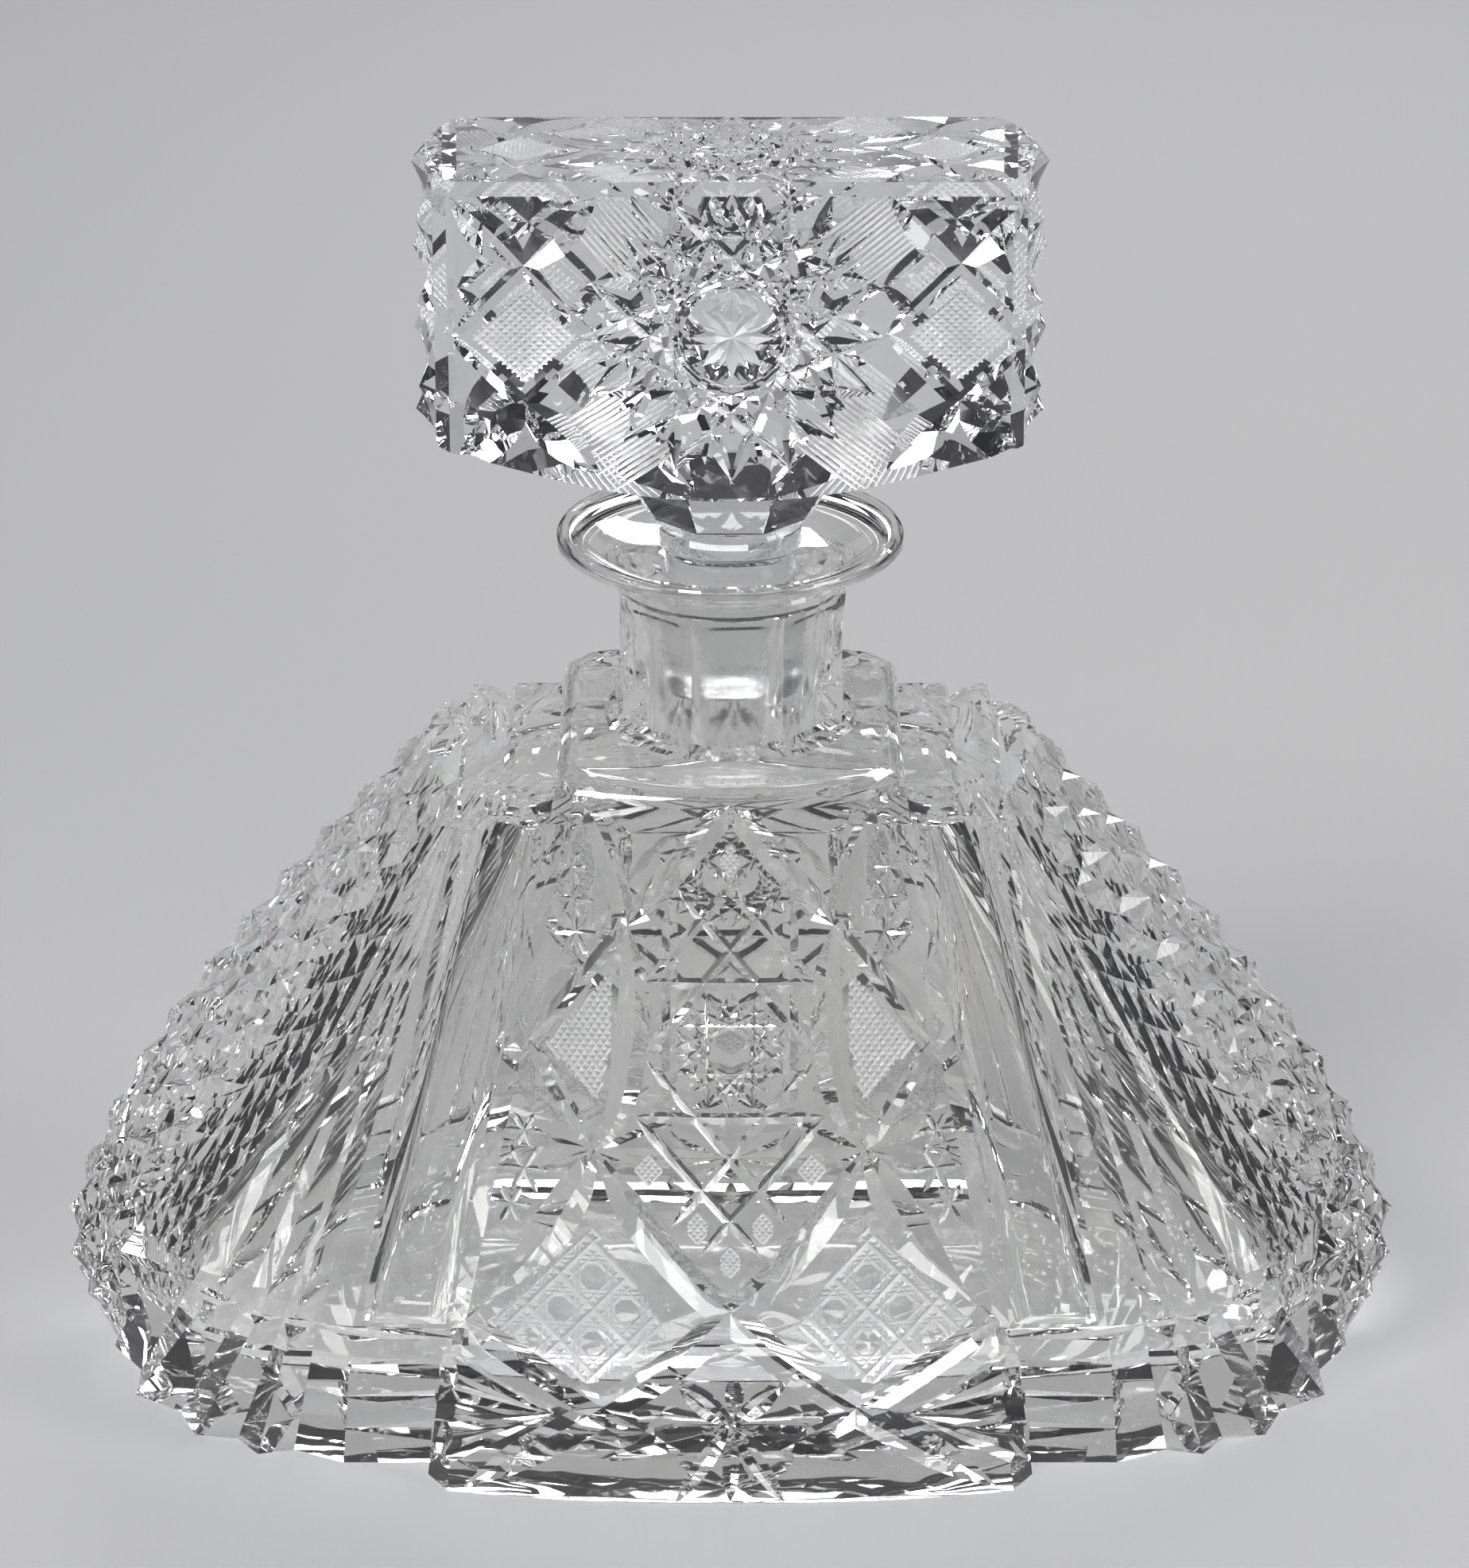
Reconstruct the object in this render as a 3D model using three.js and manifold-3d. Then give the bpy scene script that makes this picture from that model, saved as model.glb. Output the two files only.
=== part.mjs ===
// Cut glass decanter: a wide, low bottle cut from one thick blown piece, with a solid cut stopper.
// Millimetres, +Z up. The origin is the middle of the underside, -Y is the front, X runs along the wide side.

import * as THREE from 'three';
import { mergeVertices } from 'three/addons/utils/BufferGeometryUtils.js';
import Module from 'manifold-3d';

const wasm = await Module();
wasm.setup();

// Overall body sizes
const TIP_X = 113; // half of the greatest width, at the tip of each end
const TIP_Z = 24; // height of the tips
const TIP_OVERHANG = 7; // how far a tip stands out past the underside
const SHOULDER_Z = 111.6; // height of the ledge beside the neck block
const SHOULDER_END_X = 50.5; // half of the ledge's length
const SHOULDER_HALF_DEPTH = 22; // half of the ledge's depth
const BAND_Z = 24.5; // top of the upright band round the foot
const FLANK_FOOT_Y = 45.5; // half depth of the flanks at the underside
const FLANK_BAND_Y = 46; // half depth of the flanks at the top of the band
const NEAR_EDGE_BAND_Y = 19; // half depth of an end's sharp side edge at the top of the band

// Fan flutes between the smooth flutes and the ends
const FAN_FOOT_X = 64; // where the fan starts at the underside
const FAN_BAND_X = 62; // where the fan starts at the top of the band
const FAN_APEX_X = SHOULDER_END_X - 5.5; // where all the fan flutes meet, a little under the ledge
const FAN_APEX_Z = SHOULDER_Z - 6.6;
const FAN_BOW = 1.35; // how far the curve's middle control point lies out past the flank
const FAN_FOOT_ANGLES = [0, 20, 37, 60, 83]; // degrees round the foot, one for each sharp edge
const FAN_BAND_SHARES = [0, 0.33, 0.5, 0.74, 1]; // the same edges along the top of the band
const FAN_DEPTH = 2.6; // depth of the hollow between two edges
const FAN_FADE = 0.12; // share of that depth left at the apex

// Ends, cut all over into raised diamonds
const END_BULGE_TOP = 8; // how far the end bulges past its near edge at the ledge
const END_BULGE_LOW = 10; // the same at the top of the band
const END_CREST_IN = 9; // how far in and how high the crest line bends, seen from the front
const END_CREST_Z = 58;
const STRIP_WIDTH = 6.6; // plain strip between the fan and the end at the top of the band
const DIAMOND_ROWS = 20;
const DIAMOND_COLUMNS = 8;
const DIAMOND_DEPTH = 2.4;
const EDGE_SCALLOP = 0.7; // depth of the notches where the diamonds meet the side edge

// Middle block that carries the neck and the two big panels
const BLOCK_TOP_Z = SHOULDER_Z + 3.9;
const BLOCK_TOP_X = 27.4; // half widths at the top, at the top of the band and at the underside
const BLOCK_BAND_X = 46.6;
const BLOCK_FOOT_X = 49.8;
const BLOCK_TOP_Y = SHOULDER_HALF_DEPTH + 11; // half depths in the middle of the panel
const BLOCK_FOOT_Y = FLANK_FOOT_Y + 14.1;
const BLOCK_BOW = 4.6; // how far the panel bows out between its corners
const BEVEL_X = 2.8; // bevel on the block's four corners
const BEVEL_FOOT_X = 3.4;
const BEVEL_Y = 4;
const BEVEL_FOOT_Y = 5.4;
const BLOCK_ROUND = 3; // round along the top edges

// Smooth thumb flutes
const FLUTE_DEPTH = 2.8;
const FLUTE_TOP_Z = SHOULDER_Z - 3.1;
const FLUTE_GAP = 1.2; // plain edge left on each side

// Cuts over the ledge and on the band of the flanks
const LEDGE_CUTS = [[SHOULDER_END_X - 13.5, 2.1], [SHOULDER_END_X - 6.3, 2.7]]; // place along X, and depth
const LEDGE_CREASE = 0.4; // share of a cut's depth that is left on the middle of the ledge
const LEDGE_CUT_RUN = 6.5; // how far a cut runs down the ledge's face
const BAND_WEDGE_HEIGHTS = [6, 12, 18];
const BAND_WEDGE_WIDTH = 3.6; // at the block, where a wedge is widest
const BAND_WEDGE_DEPTH = 1.2;

// Neck and lip
const NECK_ACROSS = 36; // across the flats of the octagon
const NECK_FLAT_TOP_Z = BLOCK_TOP_Z + 22.8;
const NECK_TURN = 3.7; // degrees the facets are turned from square
const ROOT_RADIUS = NECK_ACROSS / 2 + 3.5; // round step at the foot of the neck
const LIP_RADIUS = NECK_ACROSS / 2 + 10.2;
const LIP_TOP_Z = NECK_FLAT_TOP_Z + 9.7;
const LIP_EDGE = 2.2; // height of the upright rim band
const BORE_MOUTH_Z = NECK_FLAT_TOP_Z + 3.7; // where the ground bore opens into the saucer of the lip
const BORE_MOUTH_RADIUS = 11.2;
const BORE_FOOT_Z = SHOULDER_Z + 1.4;
const BORE_FOOT_RADIUS = BORE_MOUTH_RADIUS - 1.2;

// Hollow inside
const FLOOR_Z = 11;
const END_WALL = 8;
const FLANK_WALL = 8;
const FLOOR_ROUND = 6;
const HOLLOW_SQUARENESS = 2.6; // 2 is an ellipse, more is nearer a rectangle

// Stopper, with its heights measured from the mouth of the bore it sits in
const HEAD_TOP_Z = BORE_MOUTH_Z + 70;
const HEAD_END_Z = HEAD_TOP_Z - 43.5; // underside at the ends
const HEAD_X = 46.5; // half width of the front face
const HEAD_CREST_X = HEAD_X + 4.1; // half width at the crest of the ends
const HEAD_Y = 19;
const HEAD_BEVEL = 1.8;
const HEAD_ROWS = 6; // net of the diamonds on the stopper's ends
const HEAD_COLUMNS = 4;
const HEAD_DIAMOND_DEPTH = 2.2;
const HEAD_CENTRE_Z = HEAD_TOP_Z - 24.2; // centre of the star on the front
const STAR_RADIUS = 23; // long mitres of the star on the front
const STAR_WIDTH = 2.4;
const STAR_DEPTH = 1.1;
const CENTRE_STAR_RADIUS = 5.6;
const SIDE_DIAMOND_X = HEAD_X - 13.5; // diamonds beside the star
const SIDE_DIAMOND_HALF = 11;
const SIDE_MITRE_WIDTH = 3.6;
const TOP_DIAMOND_X = HEAD_X - 13; // diamonds and star on the top face
const TOP_DIAMOND_HALF = 7.5;
const TOP_STAR_X = 15;
const TOP_STAR_Y = 12;
const UNDER_CORNER_X = HEAD_X - 18.5; // the underside slopes from the ends to here, then arches
const UNDER_CORNER_Z = HEAD_END_Z - 5.1;
const UNDER_MIDDLE_Z = HEAD_END_Z - 8.9;
const COLLAR_TOP_Z = HEAD_END_Z - 5;
const COLLAR_TOP_HALF = HEAD_Y - 0.3; // half across the flats
const COLLAR_FOOT_Z = BORE_MOUTH_Z + 9.5;
const COLLAR_FOOT_HALF = BORE_MOUTH_RADIUS + 1.4;
const RING_RADIUS = BORE_MOUTH_RADIUS + 0.4; // plain ring between the collar and the ground peg
const RING_FOOT_Z = BORE_MOUTH_Z + 3.2;
const PEG_FOOT_Z = BORE_MOUTH_Z - 20;
const PEG_CLEARANCE = 0.3; // between the ground peg and the ground bore

// Cuts
const BOLD_WIDTH = 5; // the mitres that frame the panels
const BOLD_DEPTH = 2.1;
const MITRE_WIDTH = 3;
const MITRE_DEPTH = 1.5;
const FINE_WIDTH = 1.5;
const FINE_DEPTH = 0.75;
const POINT_SIZE = 0.12; // share of a groove's section at its pointed end

const rad = THREE.MathUtils.degToRad;
const lerp = THREE.MathUtils.lerp;
const v2 = (x, y) => new THREE.Vector2(x, y);
const v3 = (x, y, z) => new THREE.Vector3(x, y, z);

// Solids

function toSolid(geometry) {
  geometry.deleteAttribute('normal');
  geometry.deleteAttribute('uv');
  const merged = mergeVertices(geometry, 1e-5);
  const vertProperties = Float32Array.from(merged.attributes.position.array);
  const triVerts = Uint32Array.from(merged.index.array);
  return new wasm.Manifold(new wasm.Mesh({ numProp: 3, vertProperties, triVerts }));
}

function netSolid(position, index) {
  const geometry = new THREE.BufferGeometry();
  geometry.setAttribute('position', new THREE.Float32BufferAttribute(position, 3));
  geometry.setIndex(index);
  return toSolid(geometry);
}

function toMesh(name, solid, material) {
  const { vertProperties, triVerts } = solid.getMesh();
  const geometry = new THREE.BufferGeometry();
  geometry.setAttribute('position', new THREE.BufferAttribute(vertProperties, 3));
  geometry.setIndex(new THREE.BufferAttribute(triVerts, 1));
  const flat = geometry.toNonIndexed();
  flat.computeVertexNormals();
  const mesh = new THREE.Mesh(flat, material);
  mesh.name = name;
  return mesh;
}

const join = (solids) => solids.reduce((a, b) => a.add(b));
const cutAll = (solid, cutters) => cutters.reduce((a, b) => a.subtract(b), solid);

function copies(solid, axes) {
  const out = [solid];
  for (const axis of axes) {
    for (const one of [...out]) {
      out.push(one.mirror(axis));
    }
  }
  return out;
}

// Closed solid through closed loops of points that all have the same count, from the lowest loop up.
// splitOdd chooses which diagonal splits each side face.
function loft(loops, splitOdd = () => false) {
  const count = loops[0].length;
  const position = loops.flat().flatMap((p) => [p.x, p.y, p.z]);
  const index = [];
  for (let row = 0; row + 1 < loops.length; row++) {
    for (let i = 0; i < count; i++) {
      const a = row * count + i;
      const b = row * count + ((i + 1) % count);
      const c = b + count;
      const d = a + count;
      index.push(...(splitOdd(row, i) ? [a, b, d, b, c, d] : [a, b, c, a, c, d]));
    }
  }
  const cap = (loop) => THREE.ShapeUtils.triangulateShape(loop.map((p) => v2(p.x, p.y)), []);
  const top = (loops.length - 1) * count;
  for (const [a, b, c] of cap(loops[0])) {
    index.push(a, c, b);
  }
  for (const [a, b, c] of cap(loops[loops.length - 1])) {
    index.push(top + a, top + b, top + c);
  }
  return netSolid(position, index);
}

function turned(profile, segments) {
  const lathe = new THREE.LatheGeometry(profile.map(([r, z]) => v2(r, z)), segments);
  lathe.rotateX(Math.PI / 2);
  return toSolid(lathe);
}

// Share of a groove's full section at a share t of its run: full between narrow ends, or growing.
const narrowed = (least) => (t) => (t === 0 || t === 1 ? least : 1);
const growing = (t) => lerp(POINT_SIZE, 1, t);

// V groove along a path on a surface. Each point of the path has a position and an outward normal.
function groove(path, width, depth, sizeAt = narrowed(POINT_SIZE)) {
  const last = path.length - 1;
  const lift = 0.6;
  const sections = path.map(({ at, normal }, i) => {
    const along = path[Math.min(i + 1, last)].at.clone().sub(path[Math.max(i - 1, 0)].at).normalize();
    const side = along.clone().cross(normal).normalize();
    const size = sizeAt(i / last);
    const half = (width / 2) * size * (1 + lift);
    const rise = depth * size * lift;
    return [
      at.clone().addScaledVector(side, -half).addScaledVector(normal, rise),
      at.clone().addScaledVector(normal, -depth * size),
      at.clone().addScaledVector(side, half).addScaledVector(normal, rise),
    ];
  });
  const position = sections.flat().flatMap((p) => [p.x, p.y, p.z]);
  const index = [0, 1, 2, last * 3, last * 3 + 2, last * 3 + 1];
  for (let s = 0; s < last; s++) {
    for (let i = 0; i < 3; i++) {
      const a = s * 3 + i;
      const b = s * 3 + ((i + 1) % 3);
      index.push(a, b + 3, b, a, a + 3, b + 3);
    }
  }
  return netSolid(position, index);
}

// Groove between two places on a surface that onSurface describes, run in a few straight steps.
function mitre(onSurface, from, to, width, depth, { bow = 0, steps = 4 } = {}) {
  const start = v2(...from);
  const end = v2(...to);
  const side = end.clone().sub(start).rotateAround(v2(0, 0), Math.PI / 2).normalize();
  const path = [];
  for (let i = 0; i <= steps; i++) {
    const t = i === 0 ? 0 : i === steps ? 1 : lerp(0.12, 0.88, (i - 1) / (steps - 2));
    const p = start.clone().lerp(end, t).addScaledVector(side, bow * 4 * t * (1 - t));
    path.push(onSurface(p.x, p.y));
  }
  return groove(path, width, depth);
}

// Straight wedge that starts as a point and is widest where it runs out.
const wedge = (onSurface, from, to, width, depth) =>
  groove([onSurface(...from), onSurface(...to)], width, depth, growing);

// Star of eight equal chords round a middle. Each chord spans three eighths of the circle.
function chordStar(onSurface, [x, y], radiusX, radiusY, width, depth) {
  const place = (turn) => [x + radiusX * Math.cos(turn), y + radiusY * Math.sin(turn)];
  return Array.from({ length: 8 }, (_, i) => {
    const turn = rad(22.5 + i * 45);
    return mitre(onSurface, place(turn), place(turn + rad(135)), width, depth, { steps: 3 });
  });
}

// Body outline

const flankY = (z) => (z < BAND_Z
  ? lerp(FLANK_FOOT_Y, FLANK_BAND_Y, z / BAND_Z)
  : lerp(FLANK_BAND_Y, SHOULDER_HALF_DEPTH, (z - BAND_Z) / (SHOULDER_Z - BAND_Z)));

const nearEdgeX = (z) => lerp(
  TIP_X - END_BULGE_LOW,
  SHOULDER_END_X - END_BULGE_TOP,
  (z - BAND_Z) / (SHOULDER_Z - BAND_Z),
);

// Sharp edges of the fan with a hollow between each two, as points in the plan, from the flank outwards.
function pleats(edges, depth) {
  const out = [edges[0]];
  for (let i = 1; i < edges.length; i++) {
    const along = edges[i].clone().sub(edges[i - 1]);
    const inward = v2(-along.y, along.x).normalize();
    const share = i === 1 ? 0.62 : 0.46;
    out.push(edges[i - 1].clone().addScaledVector(along, share).addScaledVector(inward, depth));
    out.push(edges[i]);
  }
  return out;
}

function footFan() {
  const halfLength = TIP_X - TIP_OVERHANG - FAN_FOOT_X;
  const edges = FAN_FOOT_ANGLES.map((a) =>
    v2(FAN_FOOT_X + halfLength * Math.sin(rad(a)), -FLANK_FOOT_Y * Math.cos(rad(a))));
  return pleats(edges, FAN_DEPTH);
}

function bandFan() {
  const start = v2(FAN_BAND_X, -FLANK_BAND_Y);
  const end = v2(nearEdgeX(BAND_Z) - STRIP_WIDTH, -NEAR_EDGE_BAND_Y - 4);
  const bow = v2(lerp(start.x, end.x, 0.41), start.y - FAN_BOW);
  const curve = new THREE.QuadraticBezierCurve(start, bow, end);
  return pleats(FAN_BAND_SHARES.map((t) => curve.getPoint(t)), FAN_DEPTH * 0.85);
}

function apexFan() {
  const edges = FAN_FOOT_ANGLES.map((_, i) =>
    v2(FAN_APEX_X - 1 + i * 0.55, -flankY(FAN_APEX_Z) + i * 0.12));
  return pleats(edges, FAN_DEPTH * FAN_FADE);
}

// Closed plan from one quarter that starts on the middle of the front and ends on the +X end.
function fullPlan(quarter, z) {
  const right = [...quarter, ...quarter.map((p) => v2(p.x, -p.y)).reverse()];
  const left = right.map((p) => v2(-p.x, p.y)).reverse();
  return [...right, ...left].map((p) => v3(p.x, p.y, z));
}

function wings() {
  const footEnd = TIP_X - TIP_OVERHANG;
  const ledgeFan = apexFan().map((_, i) => v2(nearEdgeX(SHOULDER_Z) - 3.6 + i * 0.35, -SHOULDER_HALF_DEPTH));
  const rows = [
    [0, footFan(), v2(footEnd - 0.6, -2.5)],
    [BAND_Z, bandFan(), v2(nearEdgeX(BAND_Z), -NEAR_EDGE_BAND_Y)],
    [FAN_APEX_Z, apexFan(), v2(nearEdgeX(FAN_APEX_Z) + 0.4, -SHOULDER_HALF_DEPTH)],
    [SHOULDER_Z, ledgeFan, v2(nearEdgeX(SHOULDER_Z), -SHOULDER_HALF_DEPTH)],
  ];
  return loft(rows.map(([z, fan, edge]) => fullPlan([...fan, edge], z)));
}

// Arc in the plan that bulges out to x on the axis and passes the near edge, in equal steps front to back.
function bulgeArc(x, edge, steps) {
  const bulge = x - edge.x;
  const radius = (bulge * bulge + edge.y * edge.y) / (2 * bulge);
  const spread = Math.asin(Math.min(1, edge.y / radius));
  const reach = bulge > edge.y ? Math.PI - spread : spread;
  return Array.from({ length: steps + 1 }, (_, j) => {
    const angle = lerp(-reach, reach, j / steps);
    return { angle, x: x - radius + radius * Math.cos(angle), y: radius * Math.sin(angle) };
  });
}

// One end: a convex face cut into raised diamonds by two families of crossing mitres. Every second point of
// its net is sunk, and each face is split between two sunk points, which leaves pyramids.
function endFace() {
  const low = nearEdgeX(BAND_Z);
  const footEnd = TIP_X - TIP_OVERHANG;
  const crest = new THREE.QuadraticBezierCurve(
    v2(TIP_X, TIP_Z),
    v2(TIP_X - END_CREST_IN, END_CREST_Z),
    v2(SHOULDER_END_X, SHOULDER_Z),
  );
  const flat = v2(1, 0);
  const rows = [
    { z: 0, x: footEnd, edge: v2(footEnd - 0.6, 2.5), out: flat, plain: true },
    { z: TIP_Z * 0.25, x: footEnd + TIP_OVERHANG * 0.38, edge: v2(low - 1.5, 10), out: flat, plain: true },
    { z: TIP_Z * 0.5, x: TIP_X - 1.2, edge: v2(low - 0.4, 16), out: flat },
    { z: TIP_Z * 0.75, x: TIP_X, edge: v2(low, NEAR_EDGE_BAND_Y), out: flat },
  ];
  for (let i = 0; i <= DIAMOND_ROWS; i++) {
    const t = i / DIAMOND_ROWS;
    const p = crest.getPointAt(t);
    const along = crest.getTangentAt(t);
    const depth = lerp(NEAR_EDGE_BAND_Y, SHOULDER_HALF_DEPTH, Math.min(1, t * 5));
    const edge = v2(nearEdgeX(Math.max(p.y, BAND_Z)), depth);
    rows.push({ z: p.y, x: p.x, edge, out: v2(along.y, -along.x), plain: i === DIAMOND_ROWS });
  }
  const loops = rows.map(({ z, x, edge, out, plain }, row) => {
    const points = [v3(edge.x - 9, -edge.y * 0.8, z)];
    bulgeArc(x, edge, DIAMOND_COLUMNS).forEach((p, j) => {
      const sunk = !plain && (row + j) % 2 === 1;
      const rim = j === 0 || j === DIAMOND_COLUMNS;
      const depth = sunk ? (rim ? EDGE_SCALLOP : DIAMOND_DEPTH) : 0;
      const inward = v3(out.x * Math.cos(p.angle), out.x * Math.sin(p.angle), out.y).normalize();
      points.push(v3(p.x, p.y, z).addScaledVector(inward, -depth));
    });
    points.push(v3(edge.x - 9, edge.y * 0.8, z));
    return points;
  });
  return loft(loops, (row, i) => (row + i - 1) % 2 === 0);
}

// Middle block

const blockX = (z) => (z < BAND_Z
  ? lerp(BLOCK_FOOT_X, BLOCK_BAND_X, z / BAND_Z)
  : lerp(BLOCK_BAND_X, BLOCK_TOP_X, (z - BAND_Z) / (BLOCK_TOP_Z - BAND_Z)));
const blockY = (z) => lerp(BLOCK_FOOT_Y, BLOCK_TOP_Y, z / BLOCK_TOP_Z);
const bevelAt = (foot, above, z) => lerp(foot, above, Math.min(1, z / BAND_Z));
const panelX = (z) => blockX(z) - bevelAt(BEVEL_FOOT_X, BEVEL_X, z);

function blockQuarter(z, inset) {
  const corner = panelX(z) - inset;
  const y = blockY(z) - inset;
  const bow = [0.33, 0.66, 1].map((s) => v2(corner * s, -y + BLOCK_BOW * s * s));
  return [...bow, v2(blockX(z) - inset, -y + BLOCK_BOW + bevelAt(BEVEL_FOOT_Y, BEVEL_Y, z))];
}

function block() {
  const rows = [
    [0, 0],
    [BAND_Z, 0],
    [BLOCK_TOP_Z - BLOCK_ROUND, 0],
    [BLOCK_TOP_Z - BLOCK_ROUND * 0.3, BLOCK_ROUND * 0.35],
    [BLOCK_TOP_Z, BLOCK_ROUND],
  ];
  return loft(rows.map(([z, inset]) => fullPlan(blockQuarter(z, inset), z)));
}

// A place on the front panel: across as a share of its half width, up as a share of its height.
function onPanel(across, up) {
  const z = up * BLOCK_TOP_Z;
  const lean = (BLOCK_FOOT_Y - BLOCK_TOP_Y) / BLOCK_TOP_Z;
  const turn = (2 * BLOCK_BOW * across) / panelX(z);
  return {
    at: v3(across * panelX(z), -blockY(z) + BLOCK_BOW * across * across, z),
    normal: v3(turn, -1, lean).normalize(),
  };
}

// Smooth flute beside the block: an elliptical scoop that widens downwards and ends in a round top.
function thumbFlute() {
  const rows = [];
  const low = BAND_Z + 1.5;
  const heights = [0, 0.5, 0.86, 0.93, 0.97, 0.995];
  for (const h of heights) {
    const z = lerp(low, FLUTE_TOP_Z, h);
    const inner = blockX(z) + FLUTE_GAP * 0.3;
    const t = Math.min(1, (z - BAND_Z) / (FAN_APEX_Z - BAND_Z));
    const outer = lerp(FAN_BAND_X, FAN_APEX_X - 1, t) - FLUTE_GAP;
    const round = h < 0.86 ? 1 : Math.sqrt(Math.max(0.01, 1 - ((h - 0.86) / 0.14) ** 2));
    rows.push({ z, x: (inner + outer) / 2, half: ((outer - inner) / 2) * round, depth: FLUTE_DEPTH * round });
  }
  return loft(rows.map(({ z, x, half, depth }) => {
    const loop = [];
    for (let i = 0; i <= 10; i++) {
      const a = (Math.PI * i) / 10;
      loop.push(v3(x + half * Math.cos(a), -flankY(z) + depth * Math.sin(a), z));
    }
    loop.push(v3(x - half, -flankY(z) - 3, z));
    loop.push(v3(x + half, -flankY(z) - 3, z));
    return loop;
  }));
}

// V cuts that run over the ledge from front to back and down its face, which leave steps like roof tiles.
// They are shallow on the middle of the ledge, which leaves a crease there.
function ledgeCuts() {
  const out = [];
  const reach = SHOULDER_HALF_DEPTH;
  const places = [[-reach - 3, 1], [-reach, 1], [0, LEDGE_CREASE], [reach, 1], [reach + 3, 1]];
  for (const [x, depth] of LEDGE_CUTS) {
    const loops = places.map(([y, share]) => [
      v3(x - 1.3, SHOULDER_Z + 0.5, y),
      v3(x, SHOULDER_Z - depth * share, y),
      v3(x + 6, SHOULDER_Z + 0.5, y),
    ]);
    out.push(loft(loops).rotate([90, 0, 0]));
    const w = new THREE.Shape([
      v2(x - 1.3, -SHOULDER_HALF_DEPTH - 2.5),
      v2(x + 5, -SHOULDER_HALF_DEPTH - 2.5),
      v2(x, -SHOULDER_HALF_DEPTH + depth * 0.6),
    ]);
    const down = new THREE.ExtrudeGeometry(w, { depth: LEDGE_CUT_RUN + 2.5, bevelEnabled: false });
    down.translate(0, 0, SHOULDER_Z - LEDGE_CUT_RUN);
    const face = toSolid(down);
    out.push(face, face.mirror([0, 1, 0]));
  }
  return out;
}

// Mitre groove round the top of the band, over the flank and the fan.
function bandGroove() {
  const y = NEAR_EDGE_BAND_Y;
  const out = v2(1, -1).normalize();
  const places = [
    [v2(BLOCK_BAND_X - 4, -FLANK_BAND_Y), v2(0, -1)],
    [v2(FAN_BAND_X, -FLANK_BAND_Y), v2(0.15, -1).normalize()],
    [v2(lerp(FAN_BAND_X, nearEdgeX(BAND_Z), 0.38), -FLANK_BAND_Y + 4.5), v2(0.6, -1).normalize()],
    [v2(nearEdgeX(BAND_Z) - STRIP_WIDTH, -y - 4.4), out],
    [v2(nearEdgeX(BAND_Z) + 2, -y + 2), out],
  ];
  const path = places.map(([p, n]) => ({
    at: v3(p.x + n.x * 0.3, p.y + n.y * 0.3, BAND_Z),
    normal: v3(n.x, n.y, 0),
  }));
  return groove(path, MITRE_WIDTH * 1.1, MITRE_DEPTH * 1.4, narrowed(0.6));
}

// Level wedges on the band of each flank, which widen towards the block.
function bandWedges() {
  const onBand = (x, z) => ({ at: v3(x, -flankY(z), z), normal: v3(0, -1, 0) });
  return BAND_WEDGE_HEIGHTS.map((z) =>
    wedge(onBand, [FAN_FOOT_X + 0.5, z + 0.5], [blockX(z) + 0.3, z], BAND_WEDGE_WIDTH, BAND_WEDGE_DEPTH));
}

// Neck, lip and hollow

function octagon(across, z, turn = 0) {
  const radius = across / 2 / Math.cos(Math.PI / 8);
  return Array.from({ length: 8 }, (_, i) => {
    const a = Math.PI / 8 + (i * Math.PI) / 4 + rad(turn);
    return v3(radius * Math.cos(a), radius * Math.sin(a), z);
  });
}

function neck() {
  const flat = NECK_ACROSS / 2;
  const core = loft([
    octagon(NECK_ACROSS + 4, BLOCK_TOP_Z - 0.5, NECK_TURN),
    octagon(NECK_ACROSS, BLOCK_TOP_Z + 2.4, NECK_TURN),
    octagon(NECK_ACROSS, NECK_FLAT_TOP_Z, NECK_TURN),
    octagon(NECK_ACROSS - 2, NECK_FLAT_TOP_Z + 0.8, NECK_TURN),
  ]);
  const root = turned([
    [0, BLOCK_TOP_Z - 2],
    [ROOT_RADIUS, BLOCK_TOP_Z - 2],
    [ROOT_RADIUS - 0.4, BLOCK_TOP_Z + 0.8],
    [flat - 1, BLOCK_TOP_Z + 1.6],
    [0, BLOCK_TOP_Z + 1.6],
  ], 40);
  const under = new THREE.QuadraticBezierCurve(
    v2(flat + 0.6, BORE_MOUTH_Z - 0.6),
    v2(flat + 2.6, LIP_TOP_Z - LIP_EDGE - 1.4),
    v2(LIP_RADIUS - 0.2, LIP_TOP_Z - LIP_EDGE),
  );
  const lip = turned([
    [0, NECK_FLAT_TOP_Z - 1],
    [flat - 1, NECK_FLAT_TOP_Z - 1],
    [flat + 0.9, NECK_FLAT_TOP_Z + 1],
    [flat + 0.9, NECK_FLAT_TOP_Z + 2.4],
    ...under.getPoints(4).map((p) => [p.x, p.y]),
    [LIP_RADIUS, LIP_TOP_Z - 0.5],
    [LIP_RADIUS - 1, LIP_TOP_Z],
    [0, LIP_TOP_Z],
  ], 40);
  return join([core, root, lip]);
}

function roundedLoop(halfX, halfY, z, squareness, count = 32) {
  return Array.from({ length: count }, (_, i) => {
    const a = (2 * Math.PI * i) / count;
    const pull = (c) => Math.sign(c) * Math.abs(c) ** (2 / squareness);
    return v3(halfX * pull(Math.cos(a)), halfY * pull(Math.sin(a)), z);
  });
}

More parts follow.
